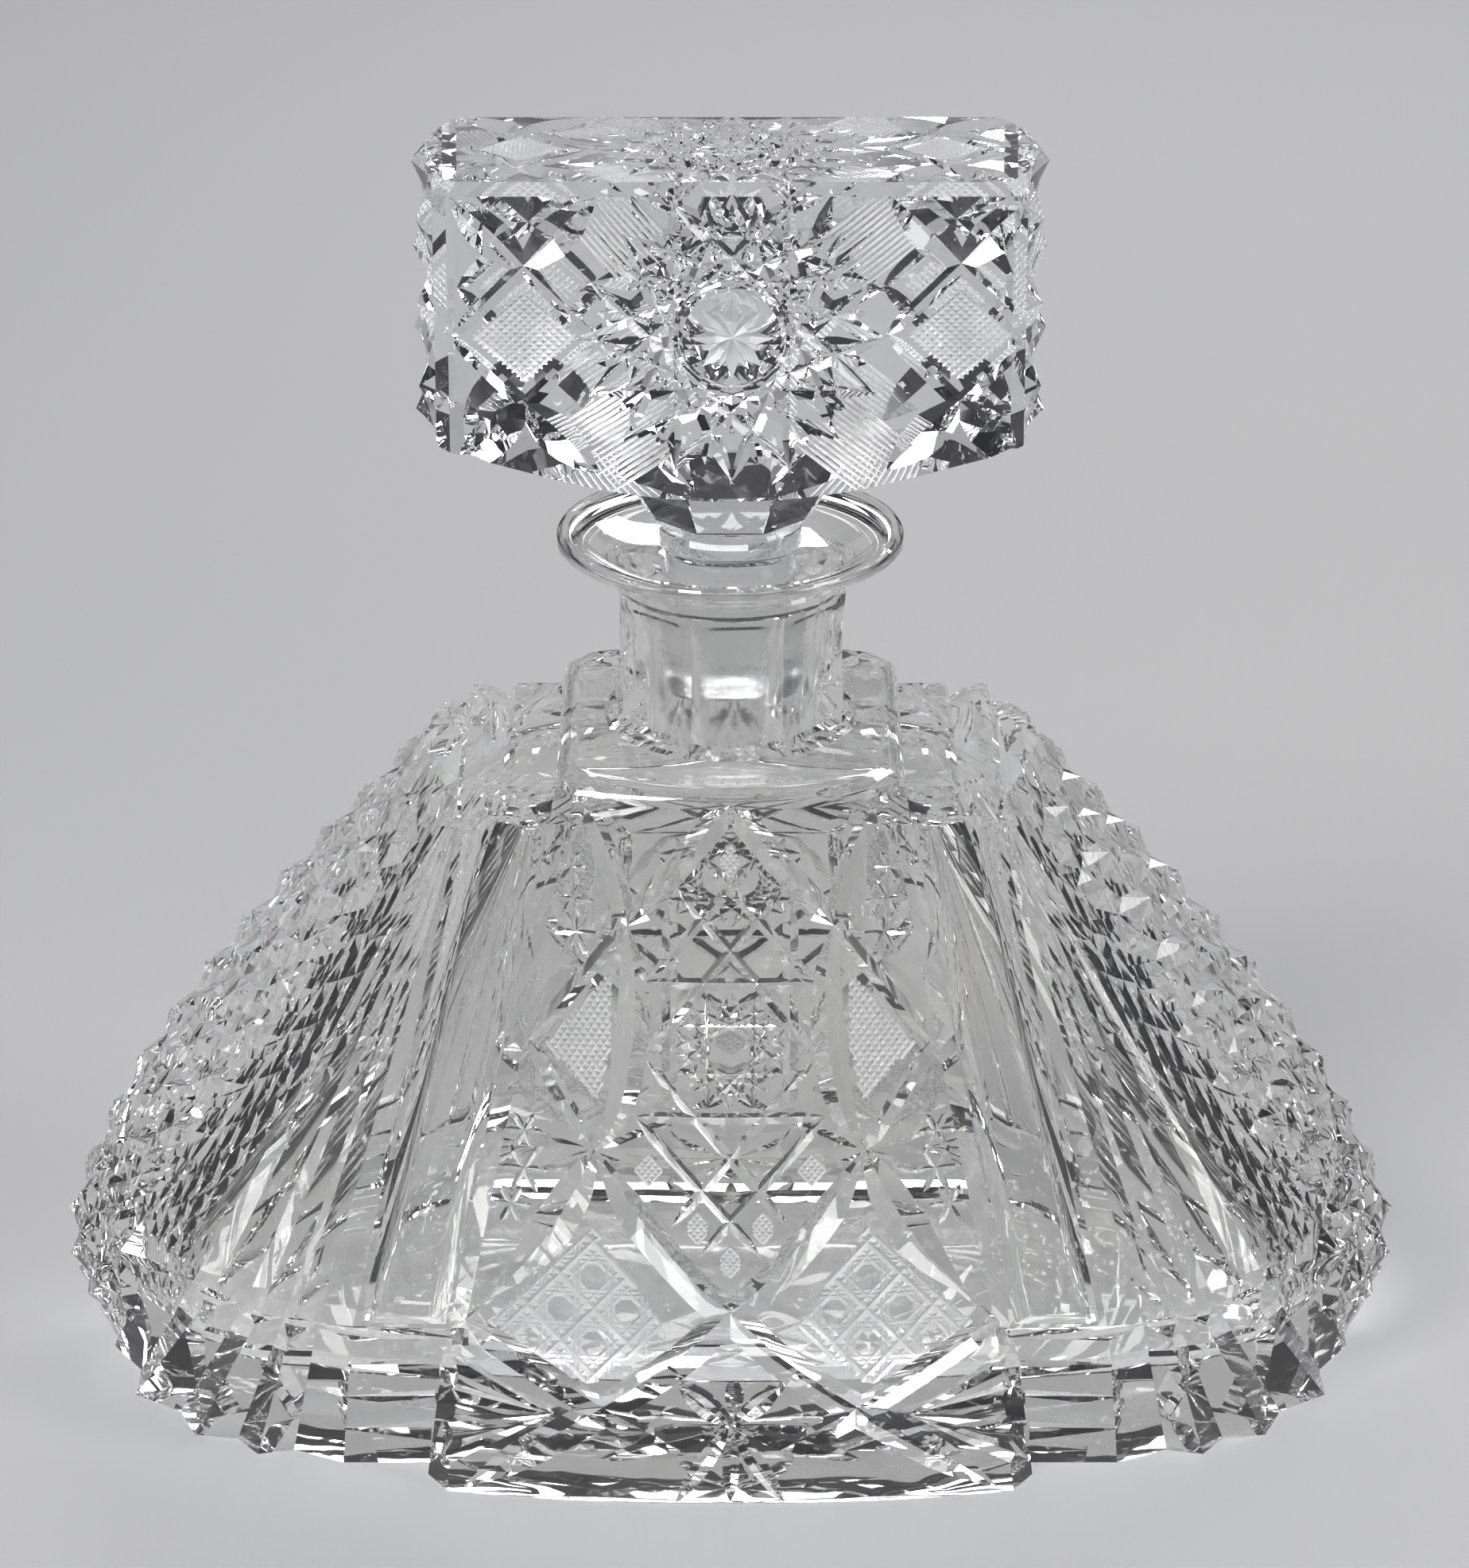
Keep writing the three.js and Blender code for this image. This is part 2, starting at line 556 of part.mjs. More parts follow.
function hollow() {
  const wideX = (z) => nearEdgeX(Math.max(z, BAND_Z)) - END_WALL;
  const wideY = (z) => flankY(Math.max(z, BAND_Z)) - FLANK_WALL;
  const r = FLOOR_ROUND;
  const rows = [
    [FLOOR_Z, wideX(0) - r, wideY(0) - r, HOLLOW_SQUARENESS],
    [FLOOR_Z + r * 0.3, wideX(0) - r * 0.3, wideY(0) - r * 0.3, HOLLOW_SQUARENESS],
    [FLOOR_Z + r, wideX(0), wideY(0), HOLLOW_SQUARENESS],
  ];
  const high = SHOULDER_Z - 11;
  for (const t of [0.1, 0.4, 0.7, 1]) {
    const z = lerp(FLOOR_Z + r, high, t);
    rows.push([z, wideX(z) * (1 - 0.05 * t), wideY(z), HOLLOW_SQUARENESS]);
  }
  const start = wideX(high) * 0.95;
  rows.push([high + 5, lerp(start, BORE_FOOT_RADIUS, 0.42), lerp(wideY(high), BORE_FOOT_RADIUS, 0.3), 2.3]);
  rows.push([high + 9, lerp(start, BORE_FOOT_RADIUS, 0.8), lerp(wideY(high), BORE_FOOT_RADIUS, 0.7), 2]);
  rows.push([BORE_FOOT_Z, BORE_FOOT_RADIUS, BORE_FOOT_RADIUS, 2]);
  return loft(rows.map(([z, x, y, n]) => roundedLoop(x, y, z, n)));
}

function bore() {
  const saucer = new THREE.QuadraticBezierCurve(
    v2(BORE_MOUTH_RADIUS + 1.4, BORE_MOUTH_Z),
    v2(LIP_RADIUS - 6, BORE_MOUTH_Z + 1),
    v2(LIP_RADIUS - 1.6, LIP_TOP_Z + 0.2),
  );
  return turned([
    [0, BORE_FOOT_Z - 1],
    [BORE_FOOT_RADIUS - 0.05, BORE_FOOT_Z - 1],
    [BORE_MOUTH_RADIUS, BORE_MOUTH_Z - 1],
    ...saucer.getPoints(5).map((p) => [p.x, p.y]),
    [LIP_RADIUS - 1.4, LIP_TOP_Z + 2],
    [0, LIP_TOP_Z + 2],
  ], 32);
}

// Cut pattern of the big panels. Each place is a share of the panel's half width and of its height.
const APEX = [0, 0.978];
const TOP_CORNER = [0.91, 0.965];
const UPPER = [0.572, 0.81];
const SIDE = [0.977, 0.641];
const WAIST = [0.591, 0.496];
const CROSS = [0, 0.268];
const LOW_SIDE = [0.985, 0.243];
const LOW_FOOT = [0.475, 0.129];
const TOE = [0.942, 0.012];
const SMALL_STARS = [[0.884, 0.84, 0.147, 0.036], [0.897, 0.463, 0.122, 0.04]];
const MIDDLE_STAR = [0, 0.641, 0.27, 0.08];
const LATTICE = [ // each line has its mirror image, and the crossings leave diamonds
  [[-0.168, 0.912], [0.419, 0.738]],
  [[-0.305, 0.866], [0.418, 0.635]],
  [[-0.418, 0.632], [0.253, 0.388]],
  [[-0.429, 0.545], [0.124, 0.352]],
];
const FOOT_STAR = [0, 0.109];
const FOOT_RAYS = [[0.18, 0.165], [0.37, 0.114], [0.45, 0.059], [0.185, 0.004]];
const CORNER_FAN = [0.652, 0.12];
const CORNER_FAN_ENDS = [0.055, 0.095, 0.144, 0.189];
const CORNER_FAN_DEPTH = 1.05;

function panelCuts() {
  const bold = (a, b, options) => mitre(onPanel, a, b, BOLD_WIDTH, BOLD_DEPTH, options);
  const plain = (a, b) => mitre(onPanel, a, b, MITRE_WIDTH, MITRE_DEPTH);
  const fine = (a, b) => mitre(onPanel, a, b, FINE_WIDTH, FINE_DEPTH, { steps: 3 });
  const half = [
    bold(APEX, UPPER),
    bold(TOP_CORNER, UPPER, { bow: -0.024 }),
    bold(UPPER, WAIST, { bow: -0.107, steps: 7 }),
    plain(UPPER, SIDE),
    plain(SIDE, WAIST),
    bold(WAIST, [CROSS[0] - 0.04, CROSS[1] - 0.018], { bow: 0.02 }),
    bold(WAIST, LOW_SIDE),
    plain(LOW_SIDE, LOW_FOOT),
    bold([CROSS[0] - 0.04, CROSS[1] + 0.016], TOE, { bow: -0.016, steps: 5 }),
    ...LATTICE.map(([a, b]) => fine(a, b)),
    ...FOOT_RAYS.map((end) => fine(FOOT_STAR, end)),
    ...CORNER_FAN_ENDS.map((up) => wedge(onPanel, CORNER_FAN, [1.01, up], MITRE_WIDTH, CORNER_FAN_DEPTH)),
  ];
  for (const [x, z, halfX, halfZ] of SMALL_STARS) {
    for (const angle of [0, 60, 120]) {
      const dx = halfX * Math.cos(rad(angle));
      const dz = halfZ * Math.sin(rad(angle));
      half.push(fine([x - dx, z - dz], [x + dx, z + dz]));
    }
  }
  const [x, z, radiusX, radiusZ] = MIDDLE_STAR;
  const star = chordStar(onPanel, [x, z], radiusX, radiusZ, FINE_WIDTH, FINE_DEPTH);
  return [...half.flatMap((one) => copies(one, [[1, 0, 0]])), ...star];
}

function decanterBody() {
  const end = endFace();
  const outside = join([wings(), end, end.mirror([1, 0, 0]), block(), neck()]);
  const cutters = [
    ...copies(thumbFlute(), [[1, 0, 0], [0, 1, 0]]),
    ...ledgeCuts().flatMap((one) => copies(one, [[1, 0, 0]])),
    ...copies(bandGroove(), [[1, 0, 0], [0, 1, 0]]),
    ...bandWedges().flatMap((one) => copies(one, [[1, 0, 0], [0, 1, 0]])),
    ...panelCuts().flatMap((one) => copies(one, [[0, 1, 0]])),
  ];
  return cutAll(outside, [...cutters, join([hollow(), bore()])]);
}

// Stopper

// Plan of the block at one height. The ends bulge, and every second point of their net is sunk.
function headPlan(z, inset, row, plain) {
  const edge = v2(HEAD_X - inset, HEAD_Y - inset - 1.6);
  const ends = bulgeArc(HEAD_CREST_X - inset, edge, HEAD_COLUMNS).map((p, j) => {
    const rim = j === 0 || j === HEAD_COLUMNS;
    const depth = plain || rim || (row + j) % 2 === 0 ? 0 : HEAD_DIAMOND_DEPTH;
    return v3(p.x - depth * Math.cos(p.angle), p.y - depth * Math.sin(p.angle), z);
  });
  const y = HEAD_Y - inset;
  const right = [v3(edge.x - 2.2, -y, z), ...ends, v3(edge.x - 2.2, y, z)];
  return [...right, ...right.map((p) => v3(-p.x, -p.y, z))];
}

function head() {
  const low = COLLAR_FOOT_Z + 4;
  const rows = [headPlan(low, 0, 0, true)];
  for (let i = 0; i <= HEAD_ROWS; i++) {
    const z = lerp(HEAD_END_Z, HEAD_TOP_Z - HEAD_BEVEL, i / HEAD_ROWS);
    rows.push(headPlan(z, 0, i, false));
  }
  rows.push(headPlan(HEAD_TOP_Z, HEAD_BEVEL, 0, true));
  const halfCount = rows[0].length / 2;
  const box = loft(rows, (row, i) => (row + (i % halfCount)) % 2 === 0);
  const wide = HEAD_CREST_X + 5;
  const arch = [-0.6, -0.3, 0, 0.3, 0.6].map((t) =>
    [t * UNDER_CORNER_X, lerp(UNDER_MIDDLE_Z, UNDER_CORNER_Z, t * t)]);
  const below = new THREE.Shape([
    v2(-wide, HEAD_END_Z),
    v2(-HEAD_X, HEAD_END_Z),
    v2(-UNDER_CORNER_X, UNDER_CORNER_Z),
    ...arch.map(([x, z]) => v2(x, z)),
    v2(UNDER_CORNER_X, UNDER_CORNER_Z),
    v2(HEAD_X, HEAD_END_Z),
    v2(wide, HEAD_END_Z),
    v2(wide, low - 5),
    v2(-wide, low - 5),
  ]);
  const under = new THREE.ExtrudeGeometry(below, { depth: 80, bevelEnabled: false });
  under.rotateX(Math.PI / 2);
  under.translate(0, 40, 0);
  return box.subtract(toSolid(under));
}

function collarAndPeg() {
  const collar = loft([
    octagon(COLLAR_FOOT_HALF * 2, COLLAR_FOOT_Z),
    octagon(COLLAR_TOP_HALF * 2, COLLAR_TOP_Z - 1),
    octagon(COLLAR_TOP_HALF * 2, COLLAR_TOP_Z + 1),
  ]);
  const pegRadius = (z) => lerp(
    BORE_FOOT_RADIUS,
    BORE_MOUTH_RADIUS,
    (z - BORE_FOOT_Z) / (BORE_MOUTH_Z - BORE_FOOT_Z),
  ) - PEG_CLEARANCE;
  const peg = turned([
    [0, PEG_FOOT_Z],
    [pegRadius(PEG_FOOT_Z) - 1, PEG_FOOT_Z],
    [pegRadius(PEG_FOOT_Z), PEG_FOOT_Z + 1],
    [pegRadius(BORE_MOUTH_Z - 1), BORE_MOUTH_Z - 1],
    [pegRadius(BORE_MOUTH_Z - 1) - 0.4, RING_FOOT_Z - 0.6],
    [RING_RADIUS, RING_FOOT_Z + 0.6],
    [RING_RADIUS, COLLAR_FOOT_Z - 2],
    [RING_RADIUS - 0.8, COLLAR_FOOT_Z - 1],
    [RING_RADIUS - 0.8, COLLAR_FOOT_Z + 1],
    [0, COLLAR_FOOT_Z + 1],
  ], 32);
  return collar.add(peg);
}

// Two long crossing mitres above and two below, which frame a diamond with its centre at middle.
function diamondFrame(onSurface, [x, z], halfX, halfZ, width, depth) {
  const out = [];
  for (const shift of [-halfZ, halfZ]) {
    for (const slope of [-1, 1]) {
      const from = [x - halfX, z + shift - slope * halfZ];
      const to = [x + halfX, z + shift + slope * halfZ];
      out.push(mitre(onSurface, from, to, width, depth));
    }
  }
  return out;
}

function headCuts() {
  const onFront = (x, z) => ({ at: v3(x, -HEAD_Y, z), normal: v3(0, -1, 0) });
  const z = HEAD_CENTRE_Z;
  const out = [];
  for (const side of [-1, 1]) {
    const middle = [side * SIDE_DIAMOND_X, z];
    const half = SIDE_DIAMOND_HALF;
    out.push(...diamondFrame(onFront, middle, half, half, SIDE_MITRE_WIDTH, SIDE_MITRE_WIDTH / 2));
  }
  out.push(...chordStar(onFront, [0, z], STAR_RADIUS, STAR_RADIUS, STAR_WIDTH, STAR_DEPTH));
  const onRing = (radius, turn) => [radius * Math.cos(turn), z + radius * Math.sin(turn)];
  for (let i = 0; i < 4; i++) {
    const turn = rad(i * 45);
    const from = onRing(-CENTRE_STAR_RADIUS, turn);
    out.push(mitre(onFront, from, onRing(CENTRE_STAR_RADIUS, turn), FINE_WIDTH * 1.3, FINE_DEPTH * 1.3));
  }
  return out;
}

function topCuts() {
  const onTop = (x, y) => ({ at: v3(x, y, HEAD_TOP_Z), normal: v3(0, 0, 1) });
  const out = [];
  for (const side of [-1, 1]) {
    for (const shift of [-TOP_DIAMOND_HALF, TOP_DIAMOND_HALF]) {
      const x = side * TOP_DIAMOND_X + shift;
      for (const slope of [-1, 1]) {
        const from = [x - TOP_DIAMOND_HALF, -slope * TOP_DIAMOND_HALF];
        const to = [x + TOP_DIAMOND_HALF, slope * TOP_DIAMOND_HALF];
        out.push(mitre(onTop, from, to, MITRE_WIDTH, MITRE_DEPTH));
      }
    }
  }
  for (let i = 0; i < 4; i++) {
    const turn = rad(i * 45);
    const x = TOP_STAR_X * Math.cos(turn);
    const y = TOP_STAR_Y * Math.sin(turn);
    out.push(mitre(onTop, [-x, -y], [x, y], FINE_WIDTH * 1.3, FINE_DEPTH * 1.3));
  }
  return out;
}

function stopperSolid() {
  const cutters = [...headCuts().flatMap((one) => copies(one, [[0, 1, 0]])), ...topCuts()];
  return cutAll(head().add(collarAndPeg()), cutters);
}

const bodyGlass = new THREE.MeshStandardMaterial({ color: 0xe6e8e4, roughness: 0.05, metalness: 0 });
const stopperGlass = new THREE.MeshStandardMaterial({ color: 0xeaeef0, roughness: 0.05, metalness: 0 });

const decanter = new THREE.Group();
decanter.add(toMesh('decanter_body', decanterBody(), bodyGlass));
decanter.add(toMesh('stopper', stopperSolid(), stopperGlass));

export default decanter;
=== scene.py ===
"""Looks of the cut glass decanter: two glass pieces with all their cutting, floor, light and camera."""

import math

import bpy
import numpy as np
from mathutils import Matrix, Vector


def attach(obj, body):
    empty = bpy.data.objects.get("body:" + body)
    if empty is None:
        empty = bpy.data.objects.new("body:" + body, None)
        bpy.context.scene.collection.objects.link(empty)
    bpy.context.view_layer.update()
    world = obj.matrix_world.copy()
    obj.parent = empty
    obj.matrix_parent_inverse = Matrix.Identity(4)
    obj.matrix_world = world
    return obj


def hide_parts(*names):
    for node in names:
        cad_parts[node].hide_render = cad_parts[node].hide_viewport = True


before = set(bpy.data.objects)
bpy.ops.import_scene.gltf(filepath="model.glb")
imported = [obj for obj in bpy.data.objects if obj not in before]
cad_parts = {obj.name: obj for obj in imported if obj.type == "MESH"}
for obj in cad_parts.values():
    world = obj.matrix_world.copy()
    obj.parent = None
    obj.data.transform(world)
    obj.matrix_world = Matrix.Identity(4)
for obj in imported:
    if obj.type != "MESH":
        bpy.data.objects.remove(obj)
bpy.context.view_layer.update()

MM = 0.001

# Bottle, in millimetres as in the solids
TIP_X = 113.0  # half of the greatest width, at the tip of each end
TIP_Z = 24.0
TIP_OVERHANG = 7.0
SHOULDER_Z = 111.6  # the ledge beside the middle block
SHOULDER_END_X = 50.5
SHOULDER_Y = 22.0
BAND_Z = 24.5  # top of the upright band round the foot
FLANK_FOOT_Y = 45.5
FLANK_BAND_Y = 46.0
NEAR_EDGE_Y = 19.0

# Fan flutes
FAN_FOOT_X = 64.0
FAN_BAND_X = 62.0
FAN_APEX_X = SHOULDER_END_X - 5.5
FAN_APEX_Z = SHOULDER_Z - 6.6
FAN_APEX_STEP = (0.55, 0.12)  # between two edges where they meet
FAN_LEDGE_IN = 3.6  # where the fan's edges start on the ledge, in from the end
FAN_LEDGE_STEP = 0.35
FAN_BOW = 1.35
FAN_BOW_AT = 0.41  # where it is fullest, as a share of the fan
FAN_END_STEP = 4.0
FAN_FOOT_ANGLES = (0, 20, 37, 60, 83)
FAN_BAND_SHARES = (0, 0.33, 0.5, 0.74, 1)
FAN_LOW_SHARES = (0.62, 0.46, 0.46, 0.46)  # where each hollow is deepest, between its two edges
FAN_DEPTH = 2.6
FAN_FADES = (0.85, 0.12)  # share of the depth at the band and at the apex
WING_STEPS = (3, 14, 1)  # rows up to the band, the apex and the ledge

# Ends with raised diamonds
END_BULGE_TOP = 8.0
END_BULGE_LOW = 10.0
END_CREST_IN = 9.0
END_CREST_Z = 58.0
CREST_STEPS = 800
END_FOOT_HALF = 2.5  # half depth of an end where it stands on the floor
END_FOOT_IN = 0.6
END_ROOT_IN = 9.0  # how far an end's mesh reaches into the bottle
END_ROOT_SHARE = 0.8
STRIP_WIDTH = 6.6
DIAMOND_ROWS = 20
DIAMOND_COLUMNS = 8
DIAMOND_DEPTH = 1.9
DIAMOND_NOTCH = 0.45  # how much deeper the two mitre families cut between the tops
EDGE_SCALLOP = 0.7

# Middle block with the two big panels
BLOCK_TOP_Z = SHOULDER_Z + 3.9
BLOCK_TOP_X = 27.4
BLOCK_BAND_X = 46.6
BLOCK_FOOT_X = 49.8
BLOCK_TOP_Y = SHOULDER_Y + 11
BLOCK_FOOT_Y = FLANK_FOOT_Y + 13.58
BLOCK_BOW = 4.4
BEVEL_X = 2.8
BEVEL_FOOT_X = 3.4
BEVEL_Y = 4.0
BEVEL_FOOT_Y = 5.4
BLOCK_ROUND = 3.0
BLOCK_ROWS = 26
BLOCK_ROUND_ROWS = 9
PANEL_COLUMNS = 19

# Smooth flutes, ledge and band
FLUTE_DEPTH = 3.2
FLUTE_RIM = 3.4  # width over which the flute sinks to its full depth
FLUTE_SQUARENESS = 2.7
FLUTE_TOP_Z = SHOULDER_Z - 3.1
FLUTE_FOOT_Z = BAND_Z + 1.5
FLUTE_FOOT_SHARE = 0.2  # the foot rises by this share of what the sides come in
FLUTE_ARCH = 8.0  # rough height of the round top
FLUTE_GAP = 1.2
FLUTE_CLEAR = 0.5  # how far a flute's tool stands proud, as a share of its depth
LEDGE_CUTS = ((SHOULDER_END_X - 13.5, 2.1), (SHOULDER_END_X - 6.3, 2.7))
LEDGE_CREASE = 0.4
LEDGE_CUT_RUN = 6.5
LEDGE_STEEP = 1.3  # width of a ledge cut's steep side
LEDGE_SLOPE = 6.0  # width of its gentle side
LEDGE_PAST = 8.0  # how far a ledge cut's tool runs past the ledge
FACE_SLOPE = 5.0  # gentle side of the cut down the ledge's face
FACE_CLEAR = 2.5
FACE_SHARE = 0.6  # its depth as a share of the cut above
BAND_WEDGE_HEIGHTS = (6, 12, 18)
BAND_WEDGE_WIDTH = 3.6
BAND_WEDGE_DEPTH = 1.2
BAND_GROOVE_WIDTH = 3.3
BAND_GROOVE_DEPTH = 2.1

# Neck, lip and hollow
NECK_ACROSS = 36.0
NECK_FLAT_TOP_Z = BLOCK_TOP_Z + 22.8
NECK_TURN = 3.7
ROOT_RADIUS = NECK_ACROSS / 2 + 3.5
LIP_RADIUS = NECK_ACROSS / 2 + 10.2
LIP_TOP_Z = NECK_FLAT_TOP_Z + 9.7
LIP_EDGE = 2.2
BORE_MOUTH_Z = NECK_FLAT_TOP_Z + 3.7
BORE_MOUTH_RADIUS = 11.2
BORE_FOOT_Z = SHOULDER_Z + 1.4
BORE_FOOT_RADIUS = BORE_MOUTH_RADIUS - 1.2
FLOOR_Z = 11.0
END_WALL = 8.0
FLANK_WALL = 8.0
FLOOR_ROUND = 6.0
HOLLOW_SQUARENESS = 2.6
HOLLOW_HIGH_Z = SHOULDER_Z - 11  # where the hollow starts to draw in to the bore
HOLLOW_TAPER = 0.05
ROUND_STEPS = 96
LIP_STEPS = 128

# Stopper
HEAD_TOP_Z = BORE_MOUTH_Z + 70
HEAD_END_Z = HEAD_TOP_Z - 43.5
HEAD_X = 46.5
HEAD_CREST_X = HEAD_X + 4.1
HEAD_Y = 19.0
HEAD_BEVEL = 1.8
HEAD_SIDE_IN = 2.2  # the flat front ends this far before an end's side edge
HEAD_SIDE_BACK = 1.6  # and an end's side edge lies this far behind it
HEAD_ROWS = 6
HEAD_COLUMNS = 4
HEAD_DIAMOND_DEPTH = 2.2
HEAD_DIAMOND_NOTCH = 0.4
UNDER_CORNER_X = HEAD_X - 18.5
UNDER_CORNER_Z = HEAD_END_Z - 5.1
UNDER_MIDDLE_Z = HEAD_END_Z - 8.9
COLLAR_TOP_Z = HEAD_END_Z - 5
COLLAR_TOP_HALF = HEAD_Y - 0.3
COLLAR_FOOT_Z = BORE_MOUTH_Z + 9.5
COLLAR_FOOT_HALF = BORE_MOUTH_RADIUS + 1.4
RING_RADIUS = BORE_MOUTH_RADIUS + 0.4
RING_FOOT_Z = BORE_MOUTH_Z + 3.2
PEG_FOOT_Z = BORE_MOUTH_Z - 20
PEG_CLEARANCE = 0.3

# Finishes, which are also the numbers of the material slots
POLISHED, FROSTED, INSIDE, GROUND = range(4)


def lerp(a, b, t):
    return a + (b - a) * t


def unit(v):
    v = np.asarray(v, float)
    return v / np.linalg.norm(v)


def heading(turn):
    """Unit vector at an angle in a plane, and the one to its left."""
    along = np.array([math.cos(turn), math.sin(turn)])
    return along, np.array([-along[1], along[0]])


# Closed meshes


class Net:
    """One or more closed meshes that don't touch: points, faces and each face's finish."""

    def __init__(self, points, faces, finishes):
        self.points = np.array(points, float).reshape(-1, 3)
        self.faces = list(faces)
        self.finishes = list(finishes)


def closed(points, faces, finish=POLISHED):
    """One closed mesh with its faces turned out."""
    points = np.asarray(points, float).reshape(-1, 3)
    if volume(points, faces) < 0:
        faces = [tuple(reversed(f)) for f in faces]
    return Net(points, faces, [finish] * len(faces))


def volume(points, faces):
    total = 0.0
    for f in faces:
        a = points[f[0]]
        for i in range(1, len(f) - 1):
            total += float(np.dot(a, np.cross(points[f[i]], points[f[i + 1]])))
    return total / 6


def gathered(nets):
    """Nets that don't touch each other, as one."""
    points, faces, finishes = [np.zeros((0, 3))], [], []
    base = 0
    for net in nets:
        points.append(net.points)
        faces += [tuple(base + i for i in f) for f in net.faces]
        finishes += net.finishes
        base += len(net.points)
    return Net(np.vstack(points), faces, finishes)


def mirrored(net, x=1, y=1):
    faces = net.faces if x * y > 0 else [tuple(reversed(f)) for f in net.faces]
    return Net(net.points * [x, y, 1], faces, net.finishes)


def tube(rings, split=None, finish=POLISHED):
    """Closed mesh through rings of points. split(row, i) chooses the diagonal of a side face."""
    rings = np.asarray(rings, float)
    rows, count = rings.shape[:2]
    faces = []
    for row in range(rows - 1):
        for i in range(count):
            a = row * count + i
            b = row * count + (i + 1) % count
            c, d = b + count, a + count
            if split is None:
                faces.append((a, b, c, d))
            elif split(row, i):
                faces += [(a, b, d), (b, c, d)]
            else:
                faces += [(a, b, c), (a, c, d)]
    faces.append(tuple(reversed(range(count))))
    faces.append(tuple(range((rows - 1) * count, rows * count)))
    return closed(rings, faces, finish)


def turned(profile, count, finish=POLISHED):
    """Closed mesh turned round the Z axis, with a profile that runs from a bottom rim to a top rim."""
    turns = np.linspace(0, 2 * np.pi, count, endpoint=False)
    return tube([[(r * math.cos(a), r * math.sin(a), z) for a in turns] for r, z in profile], finish=finish)


def make(net, name):
    """Blender object of a net, with the finishes in its material slots."""
    mesh = bpy.data.meshes.new(name)
    mesh.from_pydata(net.points, [], net.faces)
    for material in finishes:
        mesh.materials.append(material)
    mesh.polygons.foreach_set("material_index", np.array(net.finishes, np.int32))
    mesh.update()
    obj = bpy.data.objects.new(name, mesh)
    bpy.context.scene.collection.objects.link(obj)
    return obj


def combined(net, operation, others):
    """Net after the others are joined to it (UNION) or cut out of it (DIFFERENCE), one after the other."""
    target = make(net, "target")
    tools = [make(one, "tool") for one in others]
    for tool in tools:
        step = target.modifiers.new("combine", "BOOLEAN")
        step.operation = operation
        step.solver = "MANIFOLD"
        step.object = tool
    shape = target.evaluated_get(bpy.context.evaluated_depsgraph_get()).to_mesh()
    points = np.zeros(len(shape.vertices) * 3, np.float32)
    shape.vertices.foreach_get("co", points)
    faces = [tuple(p.vertices) for p in shape.polygons]
    out = Net(points, faces, [p.material_index for p in shape.polygons])
    for obj in [target, *tools]:
        mesh = obj.data
        bpy.data.objects.remove(obj)
        bpy.data.meshes.remove(mesh)
    return out


def fused(nets, group=8):
    """Nets that may cross each other, joined into one."""
    nets = list(nets)
    while len(nets) > 1:
        groups = [nets[i:i + group] for i in range(0, len(nets), group)]
        nets = [combined(g[0], "UNION", g[1:]) if len(g) > 1 else g[0] for g in groups]
    return nets[0]


def whole(net):
    """The net without the loose flakes that crossing cuts leave."""
    lead = np.arange(len(net.points))
    starts = np.concatenate(net.faces)
    ends = np.concatenate([f[1:] + f[:1] for f in net.faces])
    before = None
    while before is None or (lead != before).any():
        before = lead.copy()
        low = np.minimum(lead[starts], lead[ends])
        np.minimum.at(lead, starts, low)
        np.minimum.at(lead, ends, low)
        lead = lead[lead]
    main = np.bincount(lead).argmax()
    kept = [i for i, f in enumerate(net.faces) if lead[f[0]] == main]
    used = np.flatnonzero(lead == main)
    number = np.zeros(len(lead), int)
    number[used] = np.arange(len(used))
    faces = [tuple(int(number[v]) for v in net.faces[i]) for i in kept]
    return Net(net.points[used], faces, [net.finishes[i] for i in kept])


# V cuts, whose size at a share t of their run follows one of these shapes


def pointed(t):
    """Even, and drawn to a point over about the first and last ninth."""
    return min(1.0, 0.08 + 8 * min(t, 1 - t))


def blunt(t):
    """Even up to its very ends."""
    return 1.0 if 0.01 < t < 0.99 else 0.3


def leaf(t):
    """Fullest in the middle."""
    return max(0.06, math.sin(math.pi * t) ** 0.6)


def kite(t):
    """Four straight edges, widest a little before the middle."""
    return float(np.interp(t, (0, 0.42, 1), (0.12, 1, 0.05)))


def wedge(t):
    """Grows from a thin start to a full end."""
    return 0.06 + 0.94 * t


def tongue(t):
    """Full near its start, then drawn out to a thin line."""
    return float(np.interp(t, (0, 0.08, 0.2, 0.42, 0.6, 0.78, 1), (0.06, 0.5, 0.86, 1, 0.72, 0.2, 0.1)))


def tail(t):
    """Narrow along the first half, then a full leaf."""
    shares = (0, 0.08, 0.5, 0.56, 0.68, 0.8, 0.9, 1)
    return float(np.interp(t, shares, (0.08, 0.36, 0.4, 0.62, 1, 0.92, 0.6, 0.05)))


def straight(start, end, shares=np.linspace(0, 1, 9)):
    """Places on the line from start to end."""
    start, end = np.array(start, float), np.array(end, float)
    return [start + (end - start) * t for t in shares]


def through(*points, steps=4):
    """Places on a smooth curve through points."""
    points = [np.array(p, float) for p in points]
    points = [2 * points[0] - points[1], *points, 2 * points[-1] - points[-2]]
    out = []
    for a, b, c, d in zip(points, points[1:], points[2:], points[3:]):
        for t in np.arange(steps) / steps:
            squared, cubed = 2 * a - 5 * b + 4 * c - d, 3 * b - a - 3 * c + d
            out.append(b + 0.5 * ((c - a) * t + squared * t**2 + cubed * t**3))
    return [*out, points[-2]]


